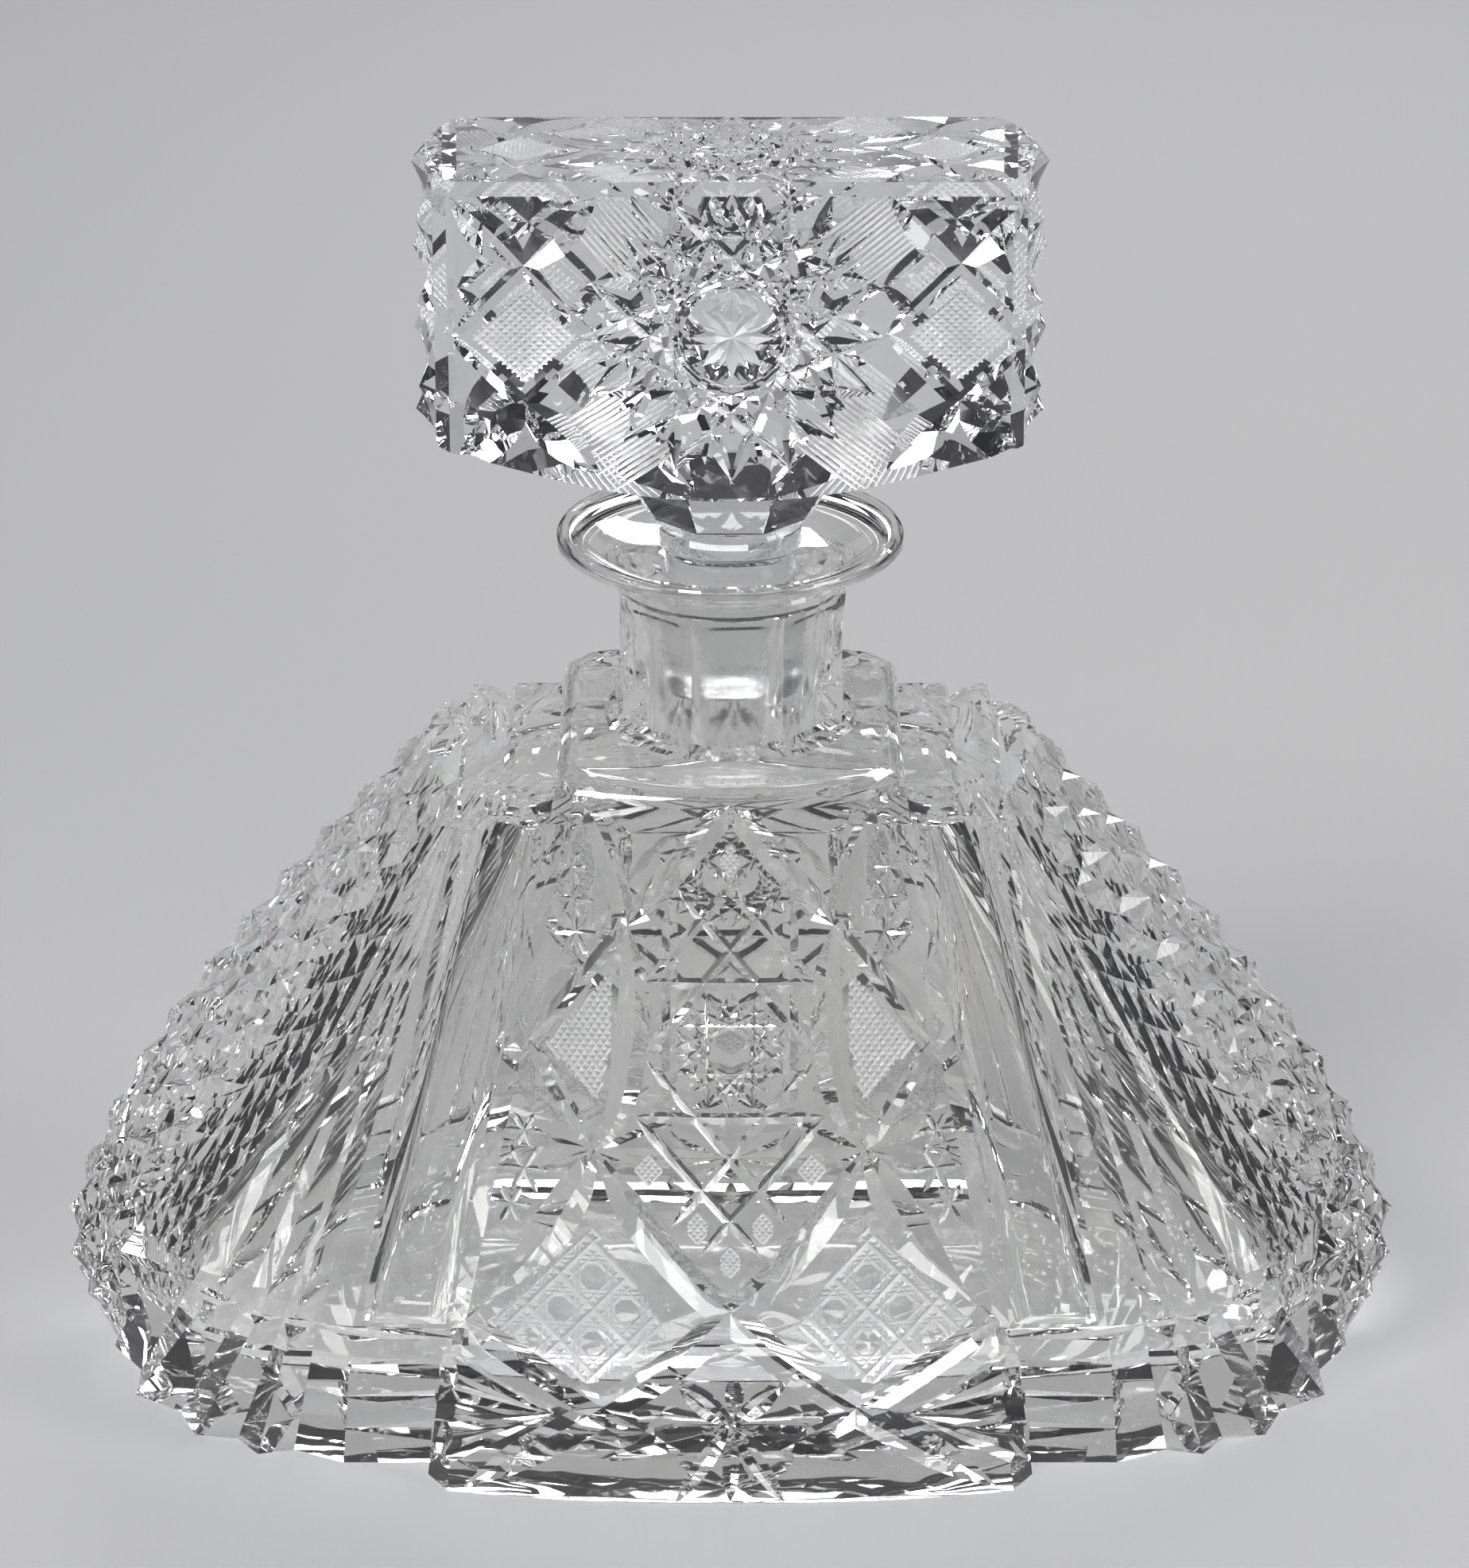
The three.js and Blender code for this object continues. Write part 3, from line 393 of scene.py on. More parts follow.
def cut(surface, places, width, depth, shape=pointed, finish=POLISHED, lift=0.15):
    """V groove along places on a surface. lift is how far its tool stands proud, as a share of the depth."""
    path = [surface(*p) for p in places]
    steps = [0.0] + [float(np.linalg.norm(b[0] - a[0])) for a, b in zip(path, path[1:])]
    run = np.cumsum(steps) / sum(steps)
    last = len(path) - 1
    sections = []
    for i, (at, normal) in enumerate(path):
        along = unit(path[min(i + 1, last)][0] - path[max(i - 1, 0)][0])
        side = unit(np.cross(along, normal))
        size = shape(run[i])
        half = side * (width / 2 * size * (1 + lift))
        rise = normal * (depth * size * lift)
        sections.append([at - half + rise, at - normal * depth * size, at + half + rise])
    faces = [(0, 1, 2), (last * 3 + 2, last * 3 + 1, last * 3)]
    for s in range(last):
        for i in range(3):
            a, b = s * 3 + i, s * 3 + (i + 1) % 3
            faces.append((a, a + 3, b + 3, b))
    return closed(sections, faces, finish)


PARALLEL = 1e-9
FIELD_REACH = 200.0  # longer than any field of cuts
SHORTEST_CUT = 1.2


def clipped(start, end, polygon):
    """The part of a line inside a convex polygon whose corners run counter-clockwise, or None."""
    low, high = 0.0, 1.0
    for a, b in zip(polygon, np.roll(polygon, -1, axis=0)):
        inward = np.array([a[1] - b[1], b[0] - a[0]])
        at, rate = float(np.dot(start - a, inward)), float(np.dot(end - start, inward))
        if abs(rate) < PARALLEL:
            if at < 0:
                return None
        elif rate > 0:
            low = max(low, -at / rate)
        else:
            high = min(high, -at / rate)
    if high <= low:
        return None
    return start + (end - start) * low, start + (end - start) * high


def hatch(surface, polygon, angle, pitch, width, depth, origin, offset=0.0):
    """One family of parallel frosted cuts inside a convex polygon."""
    polygon = np.array(polygon, float)
    along, across = heading(math.radians(angle))
    spread = (polygon - origin) @ across
    lines = []
    for k in range(math.floor(spread.min() / pitch) - 1, math.ceil(spread.max() / pitch) + 2):
        base = np.array(origin) + across * (k * pitch + offset)
        ends = clipped(base - along * FIELD_REACH, base + along * FIELD_REACH, polygon)
        if ends is not None and np.linalg.norm(ends[1] - ends[0]) > SHORTEST_CUT:
            places = straight(*ends, shares=(0, 0.06, 0.5, 0.94, 1))
            lines.append(cut(surface, places, width, depth, blunt, FROSTED))
    return gathered(lines)


def diamond(x, y, half_x, half_y):
    return [(x - half_x, y), (x, y - half_y), (x + half_x, y), (x, y + half_y)]


def crosshatch(surface, polygon, angles, pitch, width=0.86, depth=0.42):
    """Frosted field of fine cuts that cross."""
    middle = tuple(np.mean(polygon, axis=0))
    return [hatch(surface, polygon, a, pitch, width, depth, middle) for a in angles]


def chords(surface, middle, reach, offset, width, depth, squash=1.0):
    """Long lines in eight directions that pass a middle on both sides and leave a ring of points."""
    out = []
    for turn in np.arange(8) * math.pi / 8:
        along, across = heading(turn)
        for side in (-offset, offset):
            ends = [(across * side + along * run) * [1, squash] + middle for run in (-reach, reach)]
            out.append(cut(surface, straight(*ends), width, depth))
    return out


def rays(surface, middle, inner, outer, count, turn, width, depth, shape=leaf, finish=POLISHED, squash=1.0):
    """Short cuts that point away from a middle."""
    out = []
    for k in range(count):
        away = heading(math.radians(turn + 360 * k / count))[0] * [1, squash]
        places = straight(away * inner + middle, away * outer + middle)
        out.append(cut(surface, places, width, depth, shape, finish))
    return out


# Outline of the bottle


def flank_y(z):
    if z < BAND_Z:
        return lerp(FLANK_FOOT_Y, FLANK_BAND_Y, z / BAND_Z)
    return lerp(FLANK_BAND_Y, SHOULDER_Y, (z - BAND_Z) / (SHOULDER_Z - BAND_Z))


def near_edge_x(z):
    share = (z - BAND_Z) / (SHOULDER_Z - BAND_Z)
    return lerp(TIP_X - END_BULGE_LOW, SHOULDER_END_X - END_BULGE_TOP, share)


def pleats(edges, depth):
    """Sharp edges of the fan with a hollow between each two, as points in the plan."""
    edges = [np.array(e, float) for e in edges]
    out = [edges[0]]
    for a, b, share in zip(edges, edges[1:], FAN_LOW_SHARES):
        along = b - a
        inward = unit((-along[1], along[0]))
        out += [a + along * share + inward * depth, b]
    return np.array(out)


def bezier(a, b, c, t):
    a, b, c = (np.array(p, float) for p in (a, b, c))
    return a * (1 - t) ** 2 + b * 2 * t * (1 - t) + c * t * t


def foot_fan():
    half = TIP_X - TIP_OVERHANG - FAN_FOOT_X
    turns = [math.radians(a) for a in FAN_FOOT_ANGLES]
    return pleats([(FAN_FOOT_X + half * math.sin(a), -FLANK_FOOT_Y * math.cos(a)) for a in turns], FAN_DEPTH)


def band_fan():
    start = (FAN_BAND_X, -FLANK_BAND_Y)
    end = (near_edge_x(BAND_Z) - STRIP_WIDTH, -NEAR_EDGE_Y - FAN_END_STEP)
    bow = (lerp(start[0], end[0], FAN_BOW_AT), start[1] - FAN_BOW)
    return pleats([bezier(start, bow, end, t) for t in FAN_BAND_SHARES], FAN_DEPTH * FAN_FADES[0])


def apex_fan():
    x, y = FAN_APEX_X - 1, -flank_y(FAN_APEX_Z)
    across, back = FAN_APEX_STEP
    edges = [(x + i * across, y + i * back) for i in range(len(FAN_BAND_SHARES))]
    return pleats(edges, FAN_DEPTH * FAN_FADES[1])


def full_plan(quarter, z):
    """Closed plan from one quarter that starts on the middle of the front and ends on the +X end."""
    quarter = np.asarray(quarter, float)
    right = np.vstack([quarter, (quarter * [1, -1])[::-1]])
    plan = np.vstack([right, (right * [-1, 1])[::-1]])
    return np.column_stack([plan, np.full(len(plan), z)])


def wings():
    """Both sides of the bottle with their fans, without the ends' diamonds."""
    foot_end = TIP_X - TIP_OVERHANG
    apex = apex_fan()
    ledge_x = near_edge_x(SHOULDER_Z) - FAN_LEDGE_IN
    ledge = [(ledge_x + i * FAN_LEDGE_STEP, -SHOULDER_Y) for i in range(len(apex))]
    keys = [
        (0.0, np.vstack([foot_fan(), (foot_end - END_FOOT_IN, -END_FOOT_HALF)])),
        (BAND_Z, np.vstack([band_fan(), (near_edge_x(BAND_Z), -NEAR_EDGE_Y)])),
        (FAN_APEX_Z, np.vstack([apex, (near_edge_x(FAN_APEX_Z) + 0.4, -SHOULDER_Y)])),
        (SHOULDER_Z, np.vstack([ledge, (near_edge_x(SHOULDER_Z), -SHOULDER_Y)])),
    ]
    rings = []
    for (z0, low), (z1, high), steps in zip(keys, keys[1:], WING_STEPS):
        rings += [full_plan(lerp(low, high, i / steps), lerp(z0, z1, i / steps)) for i in range(steps)]
    rings.append(full_plan(keys[-1][1], SHOULDER_Z))
    return tube(rings)


def bulge_arc(x, edge, steps):
    """Arc in the plan that bulges out to x on the axis and passes the near edge."""
    bulge = x - edge[0]
    radius = (bulge**2 + edge[1] ** 2) / (2 * bulge)
    spread = math.asin(min(1.0, edge[1] / radius))
    reach = math.pi - spread if bulge > edge[1] else spread
    turns = np.linspace(-reach, reach, steps + 1)
    return turns, x - radius + radius * np.cos(turns), radius * np.sin(turns)


def relief(row, column, depth, notch):
    """Depth of a net of pyramids at half steps: tops and sunk points alternate at the whole steps."""
    if row % 2 == 0 and column % 2 == 0:
        return depth if (row // 2 + column // 2) % 2 else 0.0
    if row % 2 and column % 2:
        return depth
    return depth / 2 + notch


def halved(rows):
    """Rows of numbers with the middle of each two put in between."""
    rows = np.array(rows, float)
    out = [rows[0]]
    for a, b in zip(rows, rows[1:]):
        out += [(a + b) / 2, b]
    return np.array(out)


def end_rows():
    """Rows of an end's net: height, crest, side edge, outward direction, and share of the relief."""
    low = near_edge_x(BAND_Z)
    foot_end = TIP_X - TIP_OVERHANG
    rows = [
        (0, foot_end, foot_end - END_FOOT_IN, END_FOOT_HALF, 1, 0, 0),
        (TIP_Z * 0.25, foot_end + TIP_OVERHANG * 0.38, low - 1.5, 10, 1, 0, 0),
        (TIP_Z * 0.5, TIP_X - 1.2, low - 0.4, 16, 1, 0, 1),
        (TIP_Z * 0.75, TIP_X, low, NEAR_EDGE_Y, 1, 0, 1),
    ]
    crest = [(TIP_X, TIP_Z), (TIP_X - END_CREST_IN, END_CREST_Z), (SHOULDER_END_X, SHOULDER_Z)]
    fine = np.array([bezier(*crest, t) for t in np.linspace(0, 1, CREST_STEPS + 1)])
    run = np.concatenate([[0], np.cumsum(np.linalg.norm(np.diff(fine, axis=0), axis=1))])
    for i in range(DIAMOND_ROWS + 1):
        t = i / DIAMOND_ROWS
        at = int(np.clip(np.searchsorted(run, t * run[-1]), 1, CREST_STEPS - 1))
        x, z = (float(np.interp(t * run[-1], run, fine[:, axis])) for axis in (0, 1))
        along = unit(fine[at + 1] - fine[at - 1])
        depth = lerp(NEAR_EDGE_Y, SHOULDER_Y, min(1, t * 5))
        rows.append((z, x, near_edge_x(max(z, BAND_Z)), depth, along[1], -along[0], float(i < DIAMOND_ROWS)))
    return rows


def end_face():
    """One end, cut all over into raised diamonds."""
    rings = []
    columns = DIAMOND_COLUMNS * 2
    for row, (z, x, edge_x, edge_y, out_x, out_z, weight) in enumerate(halved(end_rows())):
        root = (edge_x - END_ROOT_IN, edge_y * END_ROOT_SHARE)
        points = [(root[0], -root[1], z)]
        turns, xs, ys = bulge_arc(x, (edge_x, edge_y), columns)
        for j, turn in enumerate(turns):
            rim = j in (0, columns)
            sizes = (EDGE_SCALLOP, 0) if rim else (DIAMOND_DEPTH, DIAMOND_NOTCH)
            depth = weight * relief(row, j, *sizes)
            inward = unit((out_x * math.cos(turn), out_x * math.sin(turn), out_z))
            points.append(np.array([xs[j], ys[j], z]) - inward * depth)
        points.append((*root, z))
        rings.append(points)
    return tube(rings, lambda row, i: (row + i - 1) % 2 == 1)


# Middle block


def block_x(z):
    if z < BAND_Z:
        return lerp(BLOCK_FOOT_X, BLOCK_BAND_X, z / BAND_Z)
    return lerp(BLOCK_BAND_X, BLOCK_TOP_X, (z - BAND_Z) / (BLOCK_TOP_Z - BAND_Z))


def block_y(z):
    return lerp(BLOCK_FOOT_Y, BLOCK_TOP_Y, z / BLOCK_TOP_Z)


def panel_x(z):
    return block_x(z) - lerp(BEVEL_FOOT_X, BEVEL_X, min(1, z / BAND_Z))


def on_panel(x, z):
    """Place and outward normal on the front panel."""
    across = x / panel_x(z)
    lean = (BLOCK_FOOT_Y - BLOCK_TOP_Y) / BLOCK_TOP_Z
    at = np.array([x, -block_y(z) + BLOCK_BOW * across**2, z])
    return at, unit((2 * BLOCK_BOW * across / panel_x(z), -1, lean))


def block():
    """Panels bow out, and each corner has one flat bevel."""
    rows = [(z, 0.0) for z in np.linspace(0, BLOCK_TOP_Z - BLOCK_ROUND, BLOCK_ROWS)]
    for turn in np.linspace(0, math.pi / 2, BLOCK_ROUND_ROWS)[1:]:
        rows.append((BLOCK_TOP_Z - BLOCK_ROUND * (1 - math.sin(turn)), BLOCK_ROUND * (1 - math.cos(turn))))
    rings = []
    for z, inset in rows:
        corner = panel_x(z) - inset
        y = block_y(z) - inset
        quarter = [(corner * s, -y + BLOCK_BOW * s * s) for s in np.linspace(0, 1, PANEL_COLUMNS)]
        bevel = lerp(BEVEL_FOOT_Y, BEVEL_Y, min(1, z / BAND_Z))
        quarter.append((block_x(z) - inset, -y + BLOCK_BOW + bevel))
        rings.append(full_plan(quarter, z))
    return tube(rings)


def flute_outline(inset):
    """Outline of the thumb flute, across and up: it widens downwards and ends in a round top."""
    def sides(z):
        fan = lerp(FAN_BAND_X, FAN_APEX_X - 1, min(1, (z - BAND_Z) / (FAN_APEX_Z - BAND_Z)))
        return block_x(z) + FLUTE_GAP * 0.3 + inset, fan - FLUTE_GAP - inset

    low, top = FLUTE_FOOT_Z + inset * FLUTE_FOOT_SHARE, FLUTE_TOP_Z - inset
    left, right = sides(top - FLUTE_ARCH)
    spring = top - (right - left) / 2
    left, right = sides(spring)
    middle, half = (left + right) / 2, (right - left) / 2
    power = 2 / FLUTE_SQUARENESS
    arch = []
    for turn in np.linspace(0, math.pi, 33)[1:-1]:
        across = math.copysign(abs(math.cos(turn)) ** power, math.cos(turn))
        arch.append((middle + half * across, spring + (top - spring) * math.sin(turn) ** power))
    heights = np.linspace(low, spring, 17)
    up = [(sides(z)[1], z) for z in heights]
    down = [(sides(z)[0], z) for z in heights[::-1]]
    return up + arch + down


def thumb_flute():
    """Smooth flute beside the block, which sinks from its rim to a flat bottom."""
    out = unit((0, FLANK_BAND_Y - SHOULDER_Y, SHOULDER_Z - BAND_Z))
    normal = np.array([0, -out[2], out[1]])
    steps = [(-FLUTE_RIM / 10, -FLUTE_CLEAR)]
    steps += [(t * FLUTE_RIM, math.sin(t * math.pi / 2)) for t in np.linspace(0, 1, 11)]
    rings = []
    for inset, sunk in steps:
        depth = FLUTE_DEPTH * sunk
        rings.append([np.array([x, -flank_y(z), z]) - normal * depth for x, z in flute_outline(inset)])
    return tube(rings)


def ledge_cuts():
    """V cuts over the ledge, shallow on its middle, and down its face, which leave steps like roof tiles."""
    over, down = [], []
    reach = SHOULDER_Y
    past = reach + LEDGE_PAST
    places = [(-past, 1), (-reach, 1), (0, LEDGE_CREASE), (reach, 1), (past, 1)]
    top = SHOULDER_Z + 0.5
    heights = (SHOULDER_Z - LEDGE_CUT_RUN, SHOULDER_Z + FACE_CLEAR)
    for x, depth in LEDGE_CUTS:
        left, right = x - LEDGE_STEEP, x + LEDGE_SLOPE
        over.append(tube([
            [(left, y, top), (x, y, SHOULDER_Z - depth * share), (right, y, top)] for y, share in places
        ]))
        front = -reach - FACE_CLEAR
        face = [(left, front), (x + FACE_SLOPE, front), (x, -reach + depth * FACE_SHARE)]
        down.append(tube([[(*p, z) for p in face] for z in heights]))
    return over, down


def band_groove():
    """Mitre round the top of the band, over the flank and the fan."""
    y = NEAR_EDGE_Y
    edge = near_edge_x(BAND_Z)
    places = [
        ((BLOCK_BAND_X - 4, -FLANK_BAND_Y), (0, -1)),
        ((FAN_BAND_X, -FLANK_BAND_Y), (0.15, -1)),
        ((lerp(FAN_BAND_X, edge, 0.38), -FLANK_BAND_Y + 4.5), (0.6, -1)),
        ((edge - STRIP_WIDTH, -y - 4.4), (1, -1)),
        ((edge + 2, -y + 2), (1, -1)),
    ]

    def around(p, n):
        n = unit((*n, 0))
        return np.array([*p, BAND_Z]) + n * 0.3, n

    def even(t):
        return 1.0 if 0 < t < 1 else 0.6

    return cut(around, places, BAND_GROOVE_WIDTH, BAND_GROOVE_DEPTH, even, lift=0.5)


def band_wedges():
    """Level wedges on the band beside the block, wide at the block and thin at the fan."""
    def on_band(x, z):
        return np.array([x, -flank_y(z), z]), np.array([0.0, -1.0, 0.0])

    out = []
    for z in BAND_WEDGE_HEIGHTS:
        places = straight((FAN_FOOT_X + 0.5, z + 0.5), (block_x(z) + 0.3, z))
        out.append(cut(on_band, places, BAND_WEDGE_WIDTH, BAND_WEDGE_DEPTH, wedge))
    return out


# Neck, lip and hollow


def octagon(across, z, turn=0.0):
    radius = across / 2 / math.cos(math.pi / 8)
    turns = [math.pi / 8 + i * math.pi / 4 + math.radians(turn) for i in range(8)]
    return [(radius * math.cos(a), radius * math.sin(a), z) for a in turns]


def hollowed(corners, sag, steps=8):
    """Ring of corners with each side between them hollowed a little."""
    corners = np.array(corners)
    out = []
    for a, b in zip(corners, np.roll(corners, -1, axis=0)):
        inward = -unit((a + b) * [1, 1, 0])
        out += [lerp(a, b, t) + inward * sag * 4 * t * (1 - t) for t in np.arange(steps) / steps]
    return out


def neck():
    """Eight flats, each hollowed, which leaves ridges between them."""
    # Height above the start, how much wider than the flats, and how far they are hollowed
    low = ((-0.5, 4, 0), (1.2, 1.2, 0), (2.2, 0.5, 0.3), (4.0, 0.1, 0.55), (9.0, -0.4, 0.6))
    high = ((-5.0, -0.4, 0.6), (-2.6, 0, 0.55), (-1.2, 0.2, 0.3), (-0.5, 0.4, 0), (0.8, 0.6, 0))
    rings = []
    for start, part in ((BLOCK_TOP_Z, low), (NECK_FLAT_TOP_Z, high)):
        for up, more, sag in part:
            rings.append(hollowed(octagon(NECK_ACROSS + more, start + up, NECK_TURN), sag))
    return tube(rings)


def neck_root():
    """Round step at the foot of the neck."""
    flat = NECK_ACROSS / 2
    foot, bend = (ROOT_RADIUS, BLOCK_TOP_Z - 2), (ROOT_RADIUS - 0.2, BLOCK_TOP_Z + 1.4)
    top = (flat - 1, BLOCK_TOP_Z + 1.6)
    return turned([bezier(foot, bend, top, t) for t in np.linspace(0, 1, 7)], ROUND_STEPS)


def lip():
    """Round lip that flares out above the flats, with a rolled rim."""
    flat = NECK_ACROSS / 2
    steps = ((-1, -1), (0.7, 0.6), (1.0, 1.4), (0.9, 2.4))
    foot = [(flat + out, NECK_FLAT_TOP_Z + up) for out, up in steps]
    low = LIP_TOP_Z - LIP_EDGE
    curve = ((flat + 0.6, BORE_MOUTH_Z - 0.6), (flat + 2.6, low - 1.4), (LIP_RADIUS - 0.2, low))
    under = [bezier(*curve, t) for t in np.linspace(0, 1, 14)]
    rim = [
        (LIP_RADIUS, low + 0.3),
        (LIP_RADIUS, LIP_TOP_Z - 0.7),
        (LIP_RADIUS - 0.25, LIP_TOP_Z - 0.3),
        (LIP_RADIUS - 0.9, LIP_TOP_Z),
    ]
    return turned(foot + under + rim, LIP_STEPS)


def hollow():
    """Inside of the bottle: a rounded oblong that draws in to the round bore."""
    def wide_x(z):
        return near_edge_x(max(z, BAND_Z)) - END_WALL

    def wide_y(z):
        return flank_y(max(z, BAND_Z)) - FLANK_WALL

    r = FLOOR_ROUND
    rows = []
    for turn in np.linspace(0, math.pi / 2, 8)[:-1]:
        inset = r * (1 - math.sin(turn))
        z = FLOOR_Z + r * (1 - math.cos(turn))
        rows.append((z, wide_x(0) - inset, wide_y(0) - inset, HOLLOW_SQUARENESS))
    for t in np.linspace(0, 1, 16):
        z = lerp(FLOOR_Z + r, HOLLOW_HIGH_Z, t)
        rows.append((z, wide_x(z) * (1 - HOLLOW_TAPER * t), wide_y(z), HOLLOW_SQUARENESS))
    start_x, start_y = rows[-1][1], rows[-1][2]
    for t in np.linspace(0, 1, 13)[1:]:
        s = t * t * (3 - 2 * t)
        x, y = lerp(start_x, BORE_FOOT_RADIUS, s), lerp(start_y, BORE_FOOT_RADIUS, s * (0.6 + 0.4 * t))
        squareness = lerp(HOLLOW_SQUARENESS, 2, min(1, t * 1.4))
        rows.append((lerp(HOLLOW_HIGH_Z, BORE_FOOT_Z, t), x, y, squareness))
    turns = np.linspace(0, 2 * np.pi, ROUND_STEPS, endpoint=False)
    c, s = np.cos(turns), np.sin(turns)
    rings = []
    for z, x, y, n in rows:
        xs, ys = x * np.sign(c) * np.abs(c) ** (2 / n), y * np.sign(s) * np.abs(s) ** (2 / n)
        rings.append(np.column_stack([xs, ys, np.full(ROUND_STEPS, z)]))
    return tube(rings, finish=INSIDE)


def bore():
    """Ground bore that the peg sits in."""
    top = BORE_MOUTH_Z - 0.7
    foot = (BORE_FOOT_RADIUS - 0.05, BORE_FOOT_Z - 1)
    mouth = [(BORE_MOUTH_RADIUS, top - 0.3), (BORE_MOUTH_RADIUS + 0.1, top)]
    return turned([foot, *mouth], ROUND_STEPS, GROUND)


def saucer():
    """Shallow dish of the lip round the mouth of the bore."""
    ends = (BORE_MOUTH_RADIUS + 1.4, BORE_MOUTH_Z), (LIP_RADIUS - 1.6, LIP_TOP_Z + 0.2)
    curve = [bezier(ends[0], (LIP_RADIUS - 6, BORE_MOUTH_Z + 1), ends[1], t) for t in np.linspace(0, 1, 14)]
    foot, top = (BORE_MOUTH_RADIUS - 0.1, BORE_MOUTH_Z - 0.9), (LIP_RADIUS - 1.4, LIP_TOP_Z + 2)
    return turned([foot, *curve, top], LIP_STEPS)


# Cutting on the big panels, in millimetres across and up, on the right half

APEX = (0.0, 113.2)
UPPER = (16.65, 93.6)
TOP_CORNER = (23.2, 111.5)
SIDE = (32.6, 74.0)
WAIST = (21.9, 57.3)
CROSS = (0.2, 31.2)
LOW_SIDE = (43.2, 28.1)
LONG_CURVE = ((14.3, 45.3), (5.0, 34.9), (-8.1, 23.6), (-21.2, 14.7), (-36.8, 5.3), (-43.6, 0.9))
FOOT_STAR = (0.2, 12.6)
FOOT_RAYS = ((8.2, 19.0), (19.8, 13.2), (21.4, 6.8), (8.8, 0.3))
CORNER_FOCUS = (29.3, 13.9)
CORNER_ENDS = ((45.8, 21.8), (47.3, 16.6), (47.8, 10.6), (47.6, 5.6))
CLUSTERS = (  # small stars: across, up and radius
    (25.7, 101.9, 3.1), (25.3, 97.0, 3.6), (24.9, 91.8, 4.3),
    (33.4, 59.5, 3.3), (33.4, 53.5, 4.2), (35.6, 47.6, 3.5),
)
SPINE = ((26.3, 107.9), (24.6, 88.0))
HATCH_FIELD = ((21.4, 65.1), (29.9, 74.2), (19.1, 86.4), (19.2, 74.6))
CANE_FIELD = ((22.4, 18.9), (39.6, 28.4), (22.3, 45.0), (10.8, 29.2))
BUTTON = (22.3, 36.9)  # one of the clear buttons in the cane field
BUTTON_PITCH = 5.45
BUTTON_HALF = 2.35
BUTTON_CUT, BUTTON_WIDE_CUT = 1.0, 1.7
BUTTON_CUT_DEPTH = 0.45  # as a share of the width
LATTICE = (
    ((-4.5, 105.3), (13.0, 85.2)),
    ((-8.5, 100.0), (14.0, 73.3)),
    ((-14.0, 73.0), (10.0, 44.8)),
    ((-15.3, 63.0), (5.0, 40.6)),
)
MIDDLE_STAR = (0.0, 74.0)
FRAME_X = 9.7  # soft upright cuts that frame the middle star
FRAME_LOW, FRAME_HIGH = 62.1, 98.9
BARS = ((84.8, 13.9), (63.1, 15.4))  # level cuts: height and half length
PATCHES = ((0.0, 104.4, 2.3), (0.0, 39.8, 2.4), (5.3, 45.3, 2.4), (13.2, 54.6, 2.6), (9.6, 88.6, 2.0))


def panel_right():
    """Cuts of the front panel that have a mirror image on its left."""
    def run(places, width, depth, shape=pointed):  # width and depth in millimetres
        return cut(on_panel, places, width, depth, shape)

    out = [
        run(straight(APEX, UPPER), 4.4, 1.9),
        run(through(TOP_CORNER, (18.9, 102.2), UPPER), 3.9, 1.7),
        run(through(UPPER, (15.5, 83.3), (16.6, 70.5), (18.8, 61.8), WAIST), 5.8, 2.4, leaf),
        run(straight(UPPER, SIDE), 2.7, 1.25),
        run(straight(SIDE, WAIST), 2.7, 1.25),
        run(through(WAIST, *LONG_CURVE[:2], CROSS, *LONG_CURVE[2:]), 5.4, 2.2),
        run(through(WAIST, (26.4, 48.6), (32.6, 39.2), LOW_SIDE, steps=6), 7.2, 2.5, tongue),
        run(through(LOW_SIDE, (21.2, 15.0), (8.2, 8.5), steps=6), 4.4, 1.9),
        run(straight(*SPINE), 1.2, 0.6),
    ]
    out += [run(straight(a, b), 1.8, 0.85) for a, b in LATTICE]
    out += [run(straight(FOOT_STAR, end), 3.0, 1.2, leaf) for end in FOOT_RAYS]
    out += [run(straight(CORNER_FOCUS, end), 3.6, 1.3, wedge) for end in CORNER_ENDS]
    out.append(run(straight((FRAME_X, FRAME_LOW), (FRAME_X, FRAME_HIGH)), 2.6, 0.5))
    for x, z, radius in CLUSTERS:
        for turn in (0, 60, 120):
            away = heading(math.radians(turn))[0] * radius
            out.append(run(straight(away + (x, z), (x, z) - away), 1.15, 0.6))
    return out


def cane_field():
    """Clear eight-sided buttons left between frosted cuts in eight directions."""
    diagonal = BUTTON_PITCH * math.sqrt(2)
    beside = ((-BUTTON_HALF, BUTTON_CUT), (BUTTON_HALF, BUTTON_CUT))
    between = (*beside, (diagonal / 2, BUTTON_WIDE_CUT))
    out = []
    for turn in (0, 90, 45, -45):
        pitch, cuts = (diagonal, between) if abs(turn) == 45 else (BUTTON_PITCH, beside)
        for offset, width in cuts:
            depth = width * BUTTON_CUT_DEPTH
            out.append(hatch(on_panel, CANE_FIELD, turn, pitch, width, depth, BUTTON, offset))
    return out


def panel_cuts():
    """All cuts of one panel."""
    right = panel_right() + crosshatch(on_panel, HATCH_FIELD, angles=(50.5, 123.0), pitch=1.02) + cane_field()
    for x, z, half in PATCHES:
        patch = diamond(x, z, half * 0.86, half * 1.1)
        right += crosshatch(on_panel, patch, angles=(48.0, 132.0), pitch=0.8, width=0.66, depth=0.3)
    right = fused(right)
    middle = chords(on_panel, MIDDLE_STAR, reach=8.6, offset=3.8, width=1.15, depth=0.55)
    middle += [cut(on_panel, straight((-half, z), (half, z)), width=1.9, depth=0.8) for z, half in BARS]
    middle.append(cut(on_panel, straight(FOOT_STAR, (0.0, 0.4)), width=2.8, depth=1.15, shape=leaf))
    return fused([right, mirrored(right, -1), *middle])


